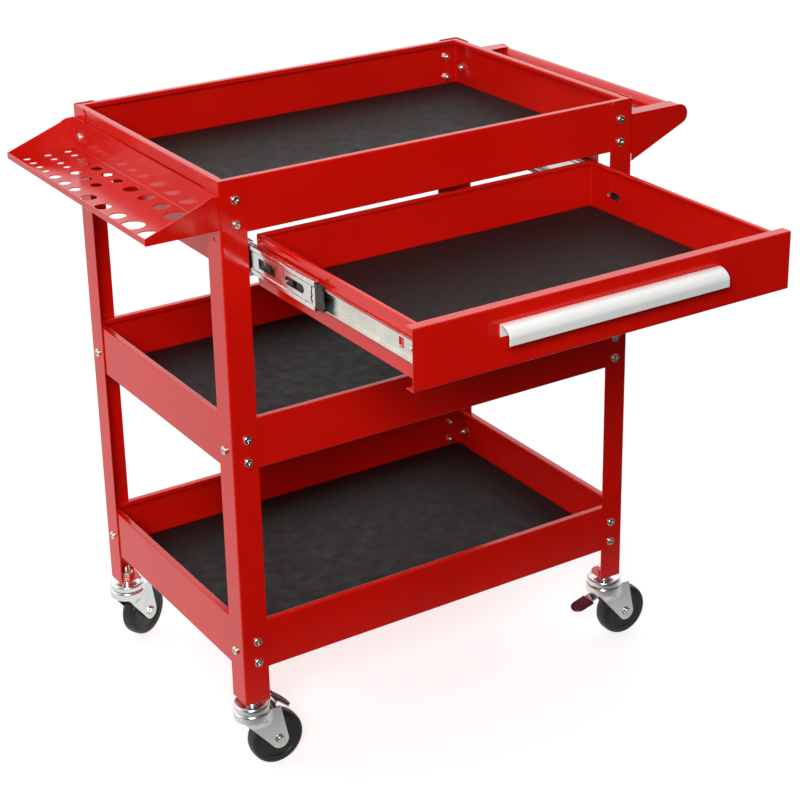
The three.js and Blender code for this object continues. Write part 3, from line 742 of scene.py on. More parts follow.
# %% Plastic buffers at the front of the middle channels
def slide_buffer(side):
    node = f"slide_buffer_{side}"
    low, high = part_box(node)
    inner, outer = sorted((low.x, high.x), key=abs)
    sheet = 1.4 * MM
    web = outer - math.copysign(sheet / 2, outer)
    top, bottom = high.z - sheet / 2, low.z + sheet / 2
    line = [(inner, top), (web, top), (web, bottom), (inner, bottom)]
    obj = as_object(f"{node}_moulded", prism(folded(line, sheet, 2.2 * MM), "y", low.y, high.y))
    corner = 8 * MM
    round_front = arc((low.y + corner, high.z - corner), corner, 90, 180, 8)
    round_front += arc((low.y + corner, low.z + corner), corner, 180, 270, 8)
    round_front += [(high.y + 1 * MM, low.z), (high.y + 1 * MM, high.z)]
    limit = prism(round_front, "x", low.x - 1 * MM, high.x + 1 * MM)
    cut(obj, as_object("limit", limit), "INTERSECT")
    round_edges(obj, 0.5 * MM)
    put_in(obj, "black_plastic", f"slide_{side}", node)


# %% Ball cages: black strips that show through the windows of the middle channels
def ball_cage(side):
    side_x = drawer_side(side)
    web = side_x + SIDES[side] * 6.9 * MM
    lip = side_x + SIDES[side] * 4.2 * MM
    line = [(lip, SLIDE_Z + 14.2 * MM), (web, SLIDE_Z + 14.2 * MM), (web, SLIDE_Z - 14.2 * MM),
            (lip, SLIDE_Z - 14.2 * MM)]
    cage = prism(folded(line, 0.5 * MM, 0.8 * MM), "y", middle_front + 2 * MM, middle_front + 140 * MM)
    obj = as_object(f"slide_cage_{side}", cage)
    reach = sorted((side_x, side_x + SIDES[side] * 13 * MM))
    for along in (50, 104, 122):
        hole = window_outline((middle_front + along * MM, SLIDE_Z), 4 * MM, 5 * MM)
        cut(obj, as_object("cage_hole", prism(hole, "x", *reach)))
    round_edges(obj, 0, 30)
    put_in(obj, "black_plastic", f"slide_{side}")


for side in SIDES:
    slide_buffer(side)
    ball_cage(side)

# %% [markdown]
# ## Geometry Nodes for what repeats
#
# Screws, nuts, balls, ribs and the holder's holes all repeat one shape, so a node tree places them.
# Each tree has named inputs. The modifier is given its values by the sockets' identifiers, the
# result is made a plain mesh, and the modifier is gone before the piece is put in place.


# %% Helpers for node trees
def new_tree(name, inputs):
    """A tree with geometry in and out, and named inputs given as (name, kind, value)."""
    tree = bpy.data.node_groups.new(name, "GeometryNodeTree")
    tree.interface.new_socket("Geometry", in_out="INPUT", socket_type="NodeSocketGeometry")
    tree.interface.new_socket("Geometry", in_out="OUTPUT", socket_type="NodeSocketGeometry")
    for label, kind, value in inputs:
        socket = tree.interface.new_socket(label, in_out="INPUT", socket_type=f"NodeSocket{kind}")
        if value is not None:
            socket.default_value = value
    tree.nodes.new("NodeGroupInput")
    tree.nodes.new("NodeGroupOutput")
    return tree


def grow(tree, kind, **settings):
    """Adds a node, sets its properties, and links or sets its inputs given in a dictionary."""
    node = tree.nodes.new(kind)
    wires = settings.pop("wires", {})
    for key, value in settings.items():
        setattr(node, key, value)
    for socket, value in wires.items():
        if isinstance(value, bpy.types.NodeSocket):
            tree.links.new(value, node.inputs[socket])
        else:
            node.inputs[socket].default_value = value
    return node


def finish_tree(tree, geometry):
    """Ends a tree: real geometry, then its material."""
    given = tree.nodes["Group Input"].outputs
    real = grow(tree, "GeometryNodeRealizeInstances", wires={"Geometry": geometry})
    painted = grow(tree, "GeometryNodeSetMaterial", wires={
        "Geometry": real.outputs["Geometry"], "Material": given["Finish"]})
    tree.links.new(painted.outputs["Geometry"], tree.nodes["Group Output"].inputs["Geometry"])


def run_tree(tree, name, carrier, values):
    """Runs a tree on a carrier mesh and returns the result as a plain object."""
    modifier = carrier.modifiers.new(tree.name, "NODES")
    modifier.node_group = tree
    sockets = {s.name: s.identifier for s in tree.interface.items_tree if s.in_out == "INPUT"}
    for label, value in values.items():
        modifier[sockets[label]] = value
    apply_modifiers(carrier)
    carrier.name = name
    carrier.data.name = name
    return carrier


def point_cloud(name, points, vectors=None, sizes=None):
    """Loose points to carry instances, each with its facing or its size."""
    mesh = bpy.data.meshes.new(name)
    mesh.from_pydata([tuple(p) for p in points], [], [])
    if vectors:
        facing = mesh.attributes.new("facing", "FLOAT_VECTOR", "POINT")
        for item, value in zip(facing.data, vectors):
            item.vector = value
    if sizes:
        size = mesh.attributes.new("size", "FLOAT", "POINT")
        for item, value in zip(size.data, sizes):
            item.value = value
    obj = bpy.data.objects.new(name, mesh)
    bpy.context.scene.collection.objects.link(obj)
    return obj


# %% [markdown]
# ## Tool holder
#
# The holder is one folded sheet with thirty-one punched holes in three rows: small ones for
# screwdrivers at the back, growing to the big ones for hammers and wrenches at the front. The tree
# stands a punch of the right size at every point and subtracts them all at once.


# %% A tree that punches holes
def punching_tree():
    tree = new_tree("punch_holes", [
        ("Punches", "Object", None), ("Depth", "Float", 0.01), ("Sides", "Int", 48),
        ("Finish", "Material", None)])
    given = tree.nodes["Group Input"].outputs
    places = grow(tree, "GeometryNodeObjectInfo", wires={"Object": given["Punches"]})
    size = grow(tree, "GeometryNodeInputNamedAttribute", data_type="FLOAT", wires={"Name": "size"})
    across = grow(tree, "ShaderNodeCombineXYZ", wires={
        "X": size.outputs["Attribute"], "Y": size.outputs["Attribute"], "Z": 1.0})
    punch = grow(tree, "GeometryNodeMeshCylinder", wires={
        "Vertices": given["Sides"], "Radius": 1.0, "Depth": given["Depth"]})
    punches = grow(tree, "GeometryNodeInstanceOnPoints", wires={
        "Points": places.outputs["Geometry"], "Instance": punch.outputs["Mesh"],
        "Scale": across.outputs["Vector"]})
    whole = grow(tree, "GeometryNodeRealizeInstances", wires={
        "Geometry": punches.outputs["Instances"]})
    punched = grow(tree, "GeometryNodeMeshBoolean", operation="DIFFERENCE", solver="EXACT", wires={
        "Mesh 1": given["Geometry"], "Mesh 2": whole.outputs["Geometry"]})
    finish_tree(tree, punched.outputs["Mesh"])
    return tree


# %% The holder's sheet
HOLDER_SHEET = 1.2 * MM
SHELF_LIFT = 9 * MM  # height of the outer lip over the shelf's underside
holder_low, holder_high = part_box("tool_holder")


def holder_sheet():
    low, high = holder_low, holder_high
    half = HOLDER_SHEET / 2
    line = [
        (high.x - half, high.z),
        (high.x - half, low.z + half),
        (low.x + half, low.z + half),
        (low.x + half, low.z + SHELF_LIFT),
    ]
    sheet = as_object("tool_holder_sheet", prism(folded(line, HOLDER_SHEET, 1.6 * MM), "y", low.y, high.y))
    return sheet


def end_plate_outline():
    low, high = holder_low, holder_high
    shoulder = high.x - 8 * MM
    curve = []
    for i in range(9):
        t = i / 8
        start = Vector((shoulder, high.z))
        middle = Vector((high.x - 14 * MM, high.z))
        end = Vector((high.x - 20 * MM, high.z - 4.6 * MM))
        curve.append(start * (1 - t) ** 2 + middle * 2 * t * (1 - t) + end * t ** 2)
    corner = [(high.x, low.z + 0.3 * MM), (high.x, high.z)]
    return [(low.x + 0.4 * MM, low.z + 0.3 * MM), *corner, *curve, (low.x + 0.4 * MM, low.z + SHELF_LIFT)]


# %% Punch the holes and add the end plates
SMALL, MEDIUM, LARGE, GIANT = 5 * MM, 8 * MM, 11 * MM, 16 * MM
BACK_HOLES = [(along, SMALL) for along in (18, 39, 60, 81)]
BACK_HOLES += [(along, MEDIUM) for along in (111, 142.5, 174)]
FRONT_HOLES = [(along, LARGE) for along in (215, 258, 300)]
FRONT_HOLES += [(along, GIANT) for along in (342, 386)]
HOLE_ROWS = {19.5: BACK_HOLES + FRONT_HOLES, 48.5: BACK_HOLES, 78.0: BACK_HOLES + FRONT_HOLES}


def tool_holder():
    low, high = holder_low, holder_high
    post_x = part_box("post_front_left")[0].x
    places, sizes = [], []
    for out, holes in HOLE_ROWS.items():
        for along, radius in holes:
            places.append((post_x - out * MM, high.y - along * MM, low.z))
            sizes.append(radius)
    punches = point_cloud("holder_punches", places, sizes=sizes)
    holder = run_tree(punching_tree(), "tool_holder_folded", holder_sheet(), {
        "Punches": punches, "Depth": 8 * MM, "Sides": 48, "Finish": FINISH["red_paint"]})
    bpy.data.objects.remove(punches)
    for start, end in ((low.y, low.y + HOLDER_SHEET), (high.y - HOLDER_SHEET, high.y)):
        plate = as_object("end_plate", prism(end_plate_outline(), "y", start, end))
        cut(holder, plate, "UNION")
    round_edges(holder, 0, 30)
    put_in(holder, "red_paint", "cart", "tool_holder")
    print("holes punched:", len(places))


tool_holder()

# %% [markdown]
# ## Push handle
#
# Each bracket is one sheet: a side plate with a rounded nose, its top edge folded inwards, and a
# flange folded against the post. The folds are channels of the sheet's section, joined to the
# plate.


# %% Handle brackets
BRACKET_SHEET = 1.5 * MM
BRACKET_BEND = 1.6 * MM
BRACKET_NOSE = 14.5 * MM  # radius
TOP_FOLD = 22 * MM
FLANGE_FOOT = 10 * MM  # the flange starts this far above the plate's lowest point
FLANGE_LAP = 12 * MM  # how far the flange's channel runs along the plate


def handle_bracket(end):
    low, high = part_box(f"handle_bracket_{end}")
    nose = Vector((high.x - BRACKET_NOSE, high.z - BRACKET_NOSE))
    foot = Vector((low.x, low.z))
    reach = nose - foot
    rise = math.atan2(reach.y, reach.x) + math.asin(BRACKET_NOSE / reach.length)
    outline = [tuple(foot), *arc(nose, BRACKET_NOSE, math.degrees(rise) - 90, 90, 20), (low.x, high.z)]
    sign = ENDS[end]
    face, inner = (high.y, low.y) if sign > 0 else (low.y, high.y)
    plate = prism(outline, "y", face, face - sign * BRACKET_SHEET)
    obj = as_object(f"handle_bracket_{end}_folded", plate)
    half = BRACKET_SHEET / 2
    top_line = [(face - sign * half, nose.y), (face - sign * half, high.z - half),
                (face - sign * TOP_FOLD, high.z - half)]
    top = prism(folded(top_line, BRACKET_SHEET, BRACKET_BEND), "x", low.x, nose.x)
    cut(obj, as_object("top_fold", top), "UNION")
    side_line = [(low.x + FLANGE_LAP, face - sign * half), (low.x + half, face - sign * half),
                 (low.x + half, inner)]
    flange = prism(
        folded(side_line, BRACKET_SHEET, BRACKET_BEND), "z", low.z + FLANGE_FOOT, high.z)
    cut(obj, as_object("flange", flange), "UNION")
    round_edges(obj, 0, 30)
    put_in(obj, "red_paint", "cart", f"handle_bracket_{end}")


for end in ENDS:
    handle_bracket(end)

# %% [markdown]
# The handle is a round tube between the brackets. A node tree sweeps a circle along a straight
# curve, once for the outside and once for the bore, so its radius and wall are inputs.


# %% The handle tube
def tube_tree():
    tree = new_tree("tube", [
        ("Start", "Vector", (0, 0, 0)), ("End", "Vector", (0, 1, 0)), ("Radius", "Float", 0.01),
        ("Wall", "Float", 0.001), ("Sides", "Int", 64), ("Finish", "Material", None)])
    given = tree.nodes["Group Input"].outputs
    line = grow(tree, "GeometryNodeCurvePrimitiveLine", wires={
        "Start": given["Start"], "End": given["End"]})
    bore_radius = grow(tree, "ShaderNodeMath", operation="SUBTRACT")
    tree.links.new(given["Radius"], bore_radius.inputs[0])
    tree.links.new(given["Wall"], bore_radius.inputs[1])
    solids = []
    for radius in (given["Radius"], bore_radius.outputs[0]):
        ring = grow(tree, "GeometryNodeCurvePrimitiveCircle", wires={
            "Resolution": given["Sides"], "Radius": radius})
        solid = grow(tree, "GeometryNodeCurveToMesh", wires={
            "Curve": line.outputs["Curve"], "Profile Curve": ring.outputs["Curve"],
            "Fill Caps": True})
        solids.append(solid.outputs["Mesh"])
    tube = grow(tree, "GeometryNodeMeshBoolean", operation="DIFFERENCE", solver="EXACT", wires={
        "Mesh 1": solids[0], "Mesh 2": solids[1]})
    finish_tree(tree, tube.outputs["Mesh"])
    return tree


def handle_tube():
    low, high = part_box("handle_tube")
    centre = (low + high) / 2
    tube = run_tree(tube_tree(), "handle_tube_round", point_cloud("tube_carrier", [centre]), {
        "Start": (centre.x, low.y, centre.z), "End": (centre.x, high.y, centre.z),
        "Radius": (high.z - low.z) / 2, "Wall": 1.2 * MM, "Sides": 64,
        "Finish": FINISH["red_paint"]})
    round_edges(tube, 0, 40)
    put_in(tube, "red_paint", "cart", "handle_tube")


handle_tube()

# %% [markdown]
# ## Screws and nuts
#
# Thirty-six pan-head screws hold the trays to the posts, with a nut inside the tray behind each.
# Two go through each post's front or back flange and one through its side flange, at every tray.
# The head is turned, then a cross recess is cut in it.


# %% A tree that seats fasteners on points
def fastening_tree():
    tree = new_tree("seat_fasteners", [("Fastener", "Object", None), ("Finish", "Material", None)])
    given = tree.nodes["Group Input"].outputs
    fastener = grow(tree, "GeometryNodeObjectInfo", wires={"Object": given["Fastener"]})
    facing = grow(tree, "GeometryNodeInputNamedAttribute", data_type="FLOAT_VECTOR",
                  wires={"Name": "facing"})
    turn = grow(tree, "FunctionNodeAlignRotationToVector", axis="Z",
                wires={"Vector": facing.outputs["Attribute"]})
    seated = grow(tree, "GeometryNodeInstanceOnPoints", wires={
        "Points": given["Geometry"], "Instance": fastener.outputs["Geometry"],
        "Rotation": turn.outputs["Rotation"]})
    finish_tree(tree, seated.outputs["Instances"])
    return tree


# %% The screw head and the nut, each standing on the origin and facing +Z
def cross_recess(height, reach, width, depth):
    quarter = [Vector((reach, -width)), Vector((reach, width)), Vector((width, width))]
    cross = [Matrix.Rotation(math.radians(turn), 2) @ p for turn in (0, 90, 180, 270) for p in quarter]
    return prism(cross, "z", height - depth, height + 1 * MM)


def screw_head(radius, height):
    profile = [(0.0, 0.0), (radius, 0.0)]
    profile += [(radius, height * 0.35)]
    profile += [(radius - (1 - math.cos(a)) * radius * 0.32, height * (0.35 + 0.65 * math.sin(a)))
                for a in (math.radians(d) for d in (20, 40, 60, 75, 90))]
    profile += [(0.0, height)]
    head = as_object("screw_head", turned(profile, 28))
    recess = cross_recess(height, radius * 0.5, radius * 0.11, height * 0.55)
    arms = as_object("recess", recess)
    cut(head, arms)
    round_edges(head, 0, 40)
    return head


def nut_and_end(flat_radius, height, bolt_radius, bolt_out):
    corner = flat_radius / math.cos(math.radians(30))
    hexagon = arc((0, 0), corner, 0, 300, 5)
    nut = as_object("nut", prism(hexagon, "z", 0, height))
    chamfer = [(0.0, 0.0), (corner, 0.0), (corner, height * 0.72)]
    chamfer += [(flat_radius * 0.96, height), (0.0, height)]
    cut(nut, as_object("chamfer", turned(chamfer, 36)), "INTERSECT")
    end = [(0.0, 0.5 * MM), (bolt_radius, 0.5 * MM)]
    end += [(bolt_radius, height + bolt_out * 0.7), (bolt_radius * 0.75, height + bolt_out)]
    end += [(0.0, height + bolt_out)]
    cut(nut, as_object("bolt_end", turned(end, 18)), "UNION")
    round_edges(nut, 0, 30)
    return nut


# %% Where the screws sit
FLANGE_INSET = 21 * MM  # from the post's corner, on the front and back
SIDE_INSET = 20 * MM
DROPS = (25 * MM, 56 * MM)  # below the rim, on the front and back
SIDE_DROP = 41 * MM
GAP = 0.3 * MM


def screw_places():
    """Each screw as (seat of the head, seat of the nut, the way the head faces)."""
    corner = {
        (sx, sy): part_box(f"post_{end}_{side}")[1 if sx > 0 else 0].x
        for end, sy in ENDS.items() for side, sx in SIDES.items()}
    face_y = {-1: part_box("post_front_left")[0].y, 1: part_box("post_rear_left")[1].y}
    places = []
    for tier in ("top", "middle", "bottom"):
        low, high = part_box(f"tray_{tier}")
        for (sx, sy), x in corner.items():
            inner_y = (low.y if sy < 0 else high.y) - sy * TRAY_SHEET
            for drop in DROPS:
                at = (x - sx * FLANGE_INSET, high.z - drop)
                places.append((
                    Vector((at[0], face_y[sy], at[1])), Vector((at[0], inner_y, at[1])),
                    Vector((0, sy, 0))))
            seat = x
            if tier == "top":
                seat = x + sx * (GAP + (HOLDER_SHEET if sx < 0 else BRACKET_SHEET))
            inner_x = (low.x if sx < 0 else high.x) - sx * TRAY_SHEET
            y = face_y[sy] - sy * SIDE_INSET
            places.append((
                Vector((seat, y, high.z - SIDE_DROP)), Vector((inner_x, y, high.z - SIDE_DROP)),
                Vector((sx, 0, 0))))
    return places


# %% Seat the screws and nuts
def fasten(name, places, facings, fastener, tree, body):
    carrier = point_cloud(f"{name}_points", places, vectors=facings)
    pieces = run_tree(tree, name, carrier, {"Fastener": fastener, "Finish": FINISH["zinc_steel"]})
    put_in(pieces, "zinc_steel", body)
    bpy.data.objects.remove(fastener)
    print(name, len(places))


seat_fasteners = fastening_tree()
screws = screw_places()
fasten("tray_screws", [s[0] for s in screws], [s[2] for s in screws],
       screw_head(6 * MM, 3.6 * MM), seat_fasteners, "cart")
fasten("tray_nuts", [s[1] for s in screws], [-s[2] for s in screws],
       nut_and_end(5 * MM, 4.8 * MM, 3 * MM, 2.5 * MM), seat_fasteners, "cart")


# %% The small screws that hold the inner channels to the drawer
INNER_CHANNEL_FACE = 1.5 * MM
SLIDE_SCREWS_ALONG = (20 * MM, 330 * MM)  # from the front end of the channel
slide_screws = []
for side, sign in SIDES.items():
    seat_x = drawer_side(side) + sign * INNER_CHANNEL_FACE
    for along in SLIDE_SCREWS_ALONG:
        seat = Vector((seat_x, inner_front + along, SLIDE_Z))
        slide_screws.append((seat, Vector((sign, 0, 0))))
fasten("slide_screws", [s[0] for s in slide_screws], [s[1] for s in slide_screws],
       screw_head(3.6 * MM, 1.5 * MM), seat_fasteners, "drawer")


# %% The two screws that hold the pull, from inside the drawer
def pull_screw(side):
    low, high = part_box(f"pull_screw_{side}")
    centre = (low + high) / 2
    seat = Vector((centre.x, high.y - 2.4 * MM, centre.z))
    carrier = point_cloud("pull_screw_point", [seat], vectors=[Vector((0, 1, 0))])
    head = screw_head(4 * MM, 2.4 * MM)
    screw = run_tree(seat_fasteners, f"pull_screw_{side}_pan", carrier, {
        "Fastener": head, "Finish": FINISH["zinc_steel"]})
    bpy.data.objects.remove(head)
    shank = arc((centre.x, centre.z), 2 * MM, 0, 345, 23)
    cut(screw, as_object("shank", prism(shank, "y", low.y, seat.y + 0.5 * MM)), "UNION")
    round_edges(screw, 0, 40)
    put_in(screw, "zinc_steel", "drawer", f"pull_screw_{side}")


for side in SIDES:
    pull_screw(side)

# %% [markdown]
# ## Balls in the slides
#
# A row of balls is a straight line of points with one small ball on each. Two rows run between the
# middle and inner channels, and two between the middle and outer ones. They ride with the middle
# channel, which is where their cages hang.


# %% Ball rows
def ball_row_tree():
    tree = new_tree("ball_row", [
        ("Radius", "Float", 0.0015), ("Finish", "Material", None)])
    given = tree.nodes["Group Input"].outputs
    ball = grow(tree, "GeometryNodeMeshIcoSphere", wires={
        "Radius": given["Radius"], "Subdivisions": 2})
    smooth = grow(tree, "GeometryNodeSetShadeSmooth", wires={"Geometry": ball.outputs["Mesh"]})
    balls = grow(tree, "GeometryNodeInstanceOnPoints", wires={
        "Points": given["Geometry"], "Instance": smooth.outputs["Geometry"]})
    finish_tree(tree, balls.outputs["Instances"])
    return tree


ball_rows = ball_row_tree()


def slide_balls(side):
    low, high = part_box(f"slide_middle_{side}")
    middle_z = (low.z + high.z) / 2
    side_x = drawer_side(side)
    points = []
    pitch = 7.5 * MM
    for sign in (-1, 1):
        for i in range(12):
            near = (side_x + SIDES[side] * 4.4 * MM, low.y + (16 * MM + i * pitch))
            points.append((*near, middle_z + sign * 14.95 * MM))
            far = (side_x + SIDES[side] * 6.4 * MM, high.y - (12 * MM + i * pitch))
            points.append((*far, middle_z + sign * 19.75 * MM))
    balls = run_tree(ball_rows, f"slide_balls_{side}", point_cloud("ball_points", points), {
        "Radius": 1.45 * MM, "Finish": FINISH["chrome_steel"]})
    put_in(balls, "chrome_steel", f"slide_{side}")
    return len(points)


print("slide balls:", sum(slide_balls(side) for side in SIDES))

# %% [markdown]
# ## Casters
#
# A caster is drawn once about its swivel axis with the wheel trailing towards +X, and each of the
# four is a copy turned and moved to its stem. The races, the wheel and the bolts are turned. The
# fork starts as a round cup and flows down into two flat legs, so each leg is a sheet whose points
# are pushed out to the cup's radius where they meet it.

# %% Caster sizes
TRAIL = 32 * MM
AXLE_Z = 38 * MM
CUP_RADIUS = 25.5 * MM
LEG_IN, LEG_OUT = 13.5 * MM, 15.7 * MM
TOE_RADIUS = 12.5 * MM
CORNERS = [f"{end}_{side}" for end in ENDS for side in SIDES]


def caster_place(corner):
    """Where a caster's local drawing goes: turned as its axle lies, and moved to its stem."""
    low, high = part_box(f"caster_stem_{corner}")
    roll = next(j for j in frame["joints"] if j["name"] == f"roll_{corner}")
    turn = math.atan2(-roll["axis"][0], roll["axis"][1])
    centre = (low + high) / 2
    return Matrix.Translation((centre.x, centre.y, 0.0)) @ Matrix.Rotation(turn, 4, "Z")


def scaled(points):
    return [(a * MM, b * MM) for a, b in points]


# %% Stem, upper race and thread
def caster_stem():
    race = [(10.5, 95.0), (20.5, 94.2), (23.2, 93.2), (24.2, 93.6), (24.5, 95.0), (24.5, 99.0),
            (24.0, 100.8), (22.6, 101.9), (21.2, 101.6), (19.2, 99.6), (16.5, 98.9), (9.5, 99.6),
            (9.5, 107.4), (9.2, 107.7), (5.0, 107.7)]
    thread = []
    height = 109.0
    while height < 124.5:
        thread += [(5.0, height), (4.5, height + 0.6)]
        height += 1.2
    profile = [(0.0, 84.0), (9.4, 84.0), (10.0, 84.6), (10.0, 87.0), (9.5, 87.6), (6.0, 87.6),
               (6.0, 93.4), *race, *thread, (4.4, 125.4), (3.8, 126.0), (0.0, 126.0)]
    return turned(scaled(profile), 72)


def stem_nut(low, high):
    nut = as_object("stem_nut", prism(arc((0, 0), 9.4 * MM, 0, 300, 5), "z", low, high))
    cone = [(0.0, low), (9.4 * MM, low), (9.4 * MM, high - 1.2 * MM), (7.8 * MM, high), (0.0, high)]
    cut(nut, as_object("cone", turned(cone, 36)), "INTERSECT")
    cut(nut, as_object("bore", turned([(0.0, 0.0), (5.3 * MM, 0.0), (5.3 * MM, 0.2), (0.0, 0.2)], 36)))
    round_edges(nut, 0, 30)
    return nut


# %% Fork
def leg_edges(z):
    """The leg's left and right edges at a height: straight sides that meet the rounded toe."""
    slope = math.radians(50.4)
    tangent_z = 30.0 * MM
    dip = max(TOE_RADIUS ** 2 - (AXLE_Z - z) ** 2, 0.0) ** 0.5
    left = TRAIL - dip if z < tangent_z else max(-19 * MM, -19 * MM + (80 * MM - z) / math.tan(slope))
    right = TRAIL + dip if z < AXLE_Z else TRAIL + TOE_RADIUS - (z - AXLE_Z) * 9.5 / 49
    return left, right


def leg_offset(x, z, middle):
    """How far from the middle plane the leg's sheet lies, flaring out to the cup near the top."""
    rise = min(max((z - 66 * MM) / (21 * MM), 0.0), 1.0)
    blend = rise * rise * (3 - 2 * rise)
    cup = CUP_RADIUS - (LEG_OUT - LEG_IN) / 2
    bulge = (max(cup ** 2 - x ** 2, 0.0) ** 0.5) - middle
    soft = 0.5 * (bulge + (bulge ** 2 + (1.2 * MM) ** 2) ** 0.5)
    return middle + blend * soft


def fork_leg(sign):
    rows, columns = 44, 26
    toe_z = AXLE_Z - TOE_RADIUS
    top_z = 89.4 * MM
    sheet = LEG_OUT - LEG_IN
    rings = []
    for row in range(rows + 1):
        part = row / rows
        z = toe_z + 0.25 * MM + (top_z - toe_z - 0.25 * MM) * (0.35 * part + 0.65 * part * part)
        left, right = leg_edges(z)
        ring = []
        for side, columns_way in ((1, range(columns + 1)), (-1, range(columns, -1, -1))):
            for column in columns_way:
                x = left + (right - left) * column / columns
                y = leg_offset(x, z, (LEG_IN + LEG_OUT) / 2) + side * sheet / 2
                ring.append((x, sign * y, z))
        rings.append(ring)
    return skin(bmesh.new(), rings)


def caster_fork():
    cup = [(6.5, 89.6), (6.5, 91.9), (7.1, 92.5), (21.4, 92.5), (23.4, 92.0), (24.8, 90.8),
           (25.5, 88.8), (25.5, 80.8), (25.1, 80.0), (23.6, 80.0), (23.2, 80.8), (23.2, 87.6),
           (22.6, 89.0), (21.2, 89.6)]
    fork = as_object("fork", turned(scaled(cup), 96))
    for sign in (-1, 1):
        cut(fork, as_object("leg", fork_leg(sign)), "UNION")
    web = prism(round_corners(scaled([(11.5, 81), (23, 81), (23, 83.2), (11.5, 83.2)]), 0.6 * MM),
                "y", -15 * MM, 15 * MM)
    cut(fork, as_object("web", web), "UNION")
    bore = prism(arc((TRAIL, AXLE_Z), 4.4 * MM, 0, 345, 23), "y", -30 * MM, 30 * MM)
    cut(fork, as_object("bore", bore))
    round_edges(fork, 0, 40)
    return fork


# %% Axle bolt and nut
def axle_bolt():
    outer = LEG_OUT + GAP
    bolt = as_object("axle", prism(arc((0, 0), 4 * MM, 0, 345, 23), "y", -outer - 1 * MM, outer + 6 * MM))
    head = as_object("head", prism(arc((0, 0), 7.2 * MM, 0, 300, 5), "y", -outer - 4.2 * MM, -outer))
    round_edges(head, 0.7 * MM)
    cut(bolt, head, "UNION")
    round_edges(bolt, 0, 30)
    return bolt


def axle_nut():
    outer = LEG_OUT + GAP
    nut = as_object("axle_nut", prism(arc((0, 0), 7.2 * MM, 0, 300, 5), "y", outer, outer + 5 * MM))
    round_edges(nut, 0.7 * MM)
    bore = prism(arc((0, 0), 4.3 * MM, 0, 345, 23), "y", outer - 1 * MM, outer + 7 * MM)
    cut(nut, as_object("bore", bore))
    round_edges(nut, 0, 30)
    return nut


# %% Wheel
def caster_wheel():
    half = [(4.6, 13.0), (9.4, 13.0), (10.0, 12.5), (10.8, 11.2), (12.5, 10.6), (24.0, 10.6),
            (25.4, 11.2), (26.2, 12.0), (29.6, 12.2), (30.2, 11.8), (30.8, 12.2), (33.6, 11.9),
            (35.4, 10.9), (36.8, 9.0), (37.6, 6.4), (37.9, 3.4), (38.0, 0.6)]
    profile = scaled([*half, *[(r, -h) for r, h in half[::-1]]])
    shape = turned(profile, 96)
    bmesh.ops.rotate(shape, cent=(0, 0, 0), matrix=Matrix.Rotation(math.pi / 2, 3, "X"), verts=shape.verts)
    wheel = as_object("wheel", shape)
    round_edges(wheel, 0, 40)
    return wheel


# %% Place the casters
def place_copy(source, name, matrix):
    obj = bpy.data.objects.new(name, source.data.copy())
    obj.data.name = name
    obj.data.transform(matrix)
    bpy.context.scene.collection.objects.link(obj)
    return obj


stem_source = as_object("stem", caster_stem())
round_edges(stem_source, 0, 50)
nut_low, nut_high = (corner.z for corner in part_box("caster_nut_front_left"))
AXLE_SHIFT = Matrix.Translation((TRAIL, 0.0, AXLE_Z))
CASTER_PARTS = [
    ("caster_stem", stem_source, Matrix.Identity(4), "chrome_steel", "cart"),
    ("caster_nut", stem_nut(nut_low, nut_high), Matrix.Identity(4), "zinc_steel", "cart"),
    ("caster_fork", caster_fork(), Matrix.Identity(4), "chrome_steel", "caster_{}"),
    ("caster_axle", axle_bolt(), AXLE_SHIFT, "zinc_steel", "caster_{}"),
    ("caster_axle_nut", axle_nut(), AXLE_SHIFT, "zinc_steel", "caster_{}"),
    ("caster_wheel", caster_wheel(), AXLE_SHIFT, "wheel_rubber", "wheel_{}"),
]
for part, source, shift, finish, body in CASTER_PARTS:
    for corner in CORNERS:
        copy = place_copy(source, f"{part}_{corner}_fine", caster_place(corner) @ shift)
        put_in(copy, finish, body.format(corner), f"{part}_{corner}")
    bpy.data.objects.remove(source)
print("caster parts:", len(CASTER_PARTS) * len(CORNERS))

# %% [markdown]
# Under each upper race runs a ring of balls. Only their dark gap shows, but they are what the cart
# turns on.


# %% Balls in the swivel races
def race_balls(corner):
    place = caster_place(corner)
    points = [place @ Vector((14 * MM * math.cos(a), 14 * MM * math.sin(a), 93.2 * MM))
              for a in (2 * math.pi * i / 18 for i in range(18))]
    balls = run_tree(ball_rows, f"race_balls_{corner}", point_cloud("race_points", points), {
        "Radius": 1.6 * MM, "Finish": FINISH["chrome_steel"]})
    put_in(balls, "chrome_steel", "cart")


for corner in CORNERS:
    race_balls(corner)

# %% [markdown]
# ## Brake pedals
#
# A plated lever turns on a pin in the fork. A ribbed plastic cap covers its end. The ribs are one
# bar repeated along the cap.

# %% Pedal layouts, as (x, z) in millimetres about the swivel axis
PEDALS = {
    "front_right": {"pivot": (-9, 77), "heel": (-27, 72), "toe": (-57, 64)},
    "front_left": {"pivot": (30, 81), "heel": (31, 98), "toe": (53, 78)},
}


def rib_tree():
    tree = new_tree("ribs", [
        ("Length", "Float", 0.016), ("Width", "Float", 0.001), ("Turn", "Float", 0.0),
        ("Finish", "Material", None)])
    given = tree.nodes["Group Input"].outputs
    size = grow(tree, "ShaderNodeCombineXYZ", wires={
        "X": given["Width"], "Y": given["Length"], "Z": given["Width"]})
    bar = grow(tree, "GeometryNodeMeshCube", wires={"Size": size.outputs["Vector"]})
    tilt = grow(tree, "ShaderNodeCombineXYZ", wires={"X": 0.0, "Y": given["Turn"], "Z": 0.0})
    ribs = grow(tree, "GeometryNodeInstanceOnPoints", wires={
        "Points": given["Geometry"], "Instance": bar.outputs["Mesh"],
        "Rotation": tilt.outputs["Vector"]})
    finish_tree(tree, ribs.outputs["Instances"])
    return tree


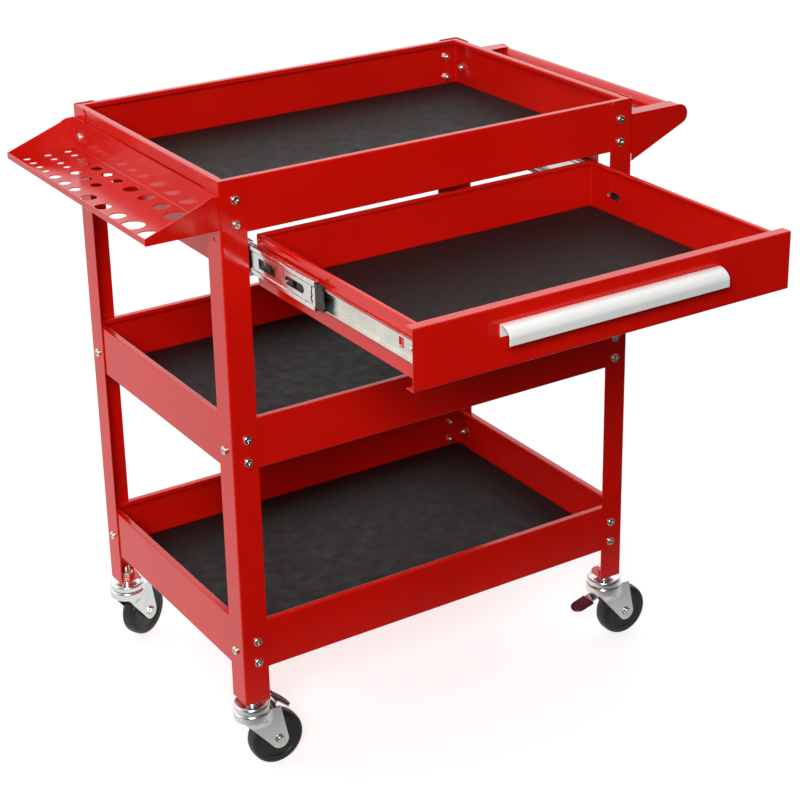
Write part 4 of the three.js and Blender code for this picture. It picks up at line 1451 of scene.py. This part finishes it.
rib_bars = rib_tree()


# %% Build a pedal
def pedal_cap(heel, toe):
    """The plastic cap, drawn flat, tilted onto the lever, with its ribs."""
    run = toe - heel
    length = run.length
    tilt = -math.atan2(run.y, run.x)
    outline = scaled([(0, -12), (length / MM - 12, -12)])
    outline += arc((length - 12 * MM, 0), 12 * MM, -80, 80, 12)
    outline += scaled([(length / MM - 12, 12), (0, 12)])
    cap = as_object("cap", prism(outline, "z", 0.0, 3.6 * MM))
    round_edges(cap, 1.1 * MM, 50)
    ribs = point_cloud("rib_points", [(length * t, 0.0, 3.5 * MM) for t in (0.2, 0.35, 0.5, 0.65)])
    bars = run_tree(rib_bars, "bars", ribs, {
        "Length": 15 * MM, "Width": 1.3 * MM, "Turn": 0.0, "Finish": FINISH["pedal_plastic"]})
    cut(cap, bars, "UNION")
    place = Matrix.Translation((heel.x, 0.0, heel.y)) @ Matrix.Rotation(tilt, 4, "Y")
    cap.data.transform(place)
    round_edges(cap, 0, 40)
    return cap


def brake_pedal(corner):
    body = f"pedal_{corner}"
    place = caster_place(corner)
    pivot, heel, toe = (Vector(PEDALS[corner][key]) * MM for key in ("pivot", "heel", "toe"))
    cap = pedal_cap(heel, toe)
    cap.name = f"brake_pedal_{corner}_cap"
    cap.data.transform(place)
    put_in(cap, "pedal_plastic", body, f"brake_pedal_{corner}")

    run = (toe - heel).normalized()
    under = Vector((run.y, -run.x)) * 0.9 * MM
    if under.y > 0:
        under = -under
    line = [pivot, heel + under, toe - run * 3 * MM + under]
    lever = as_object(f"brake_lever_{corner}", prism(folded(line, 1.6 * MM, 3 * MM), "y", -9 * MM, 9 * MM))
    pin = prism(arc(pivot, 2 * MM, 0, 345, 15), "y", -LEG_OUT, LEG_OUT)
    cut(lever, as_object("pin", pin), "UNION")
    round_edges(lever, 0, 35)
    lever.data.transform(place)
    put_in(lever, "chrome_steel", body)


for corner in PEDALS:
    brake_pedal(corner)
print("pedals:", len(PEDALS))

# %% [markdown]
# ## Check the size
#
# The box of the engineering model and the box of the finished pieces are compared, and the
# largest change at the low and high corners is printed.

# %% Compare both boxes
looks_box = [list(corner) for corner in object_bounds()]
growth = [
    round(max(abs(a - b) for a, b in zip(ours, theirs)) / MM, 2)
    for ours, theirs in zip(looks_box, engineering_box)]
print("largest change at the low and high corners, in mm:", growth)
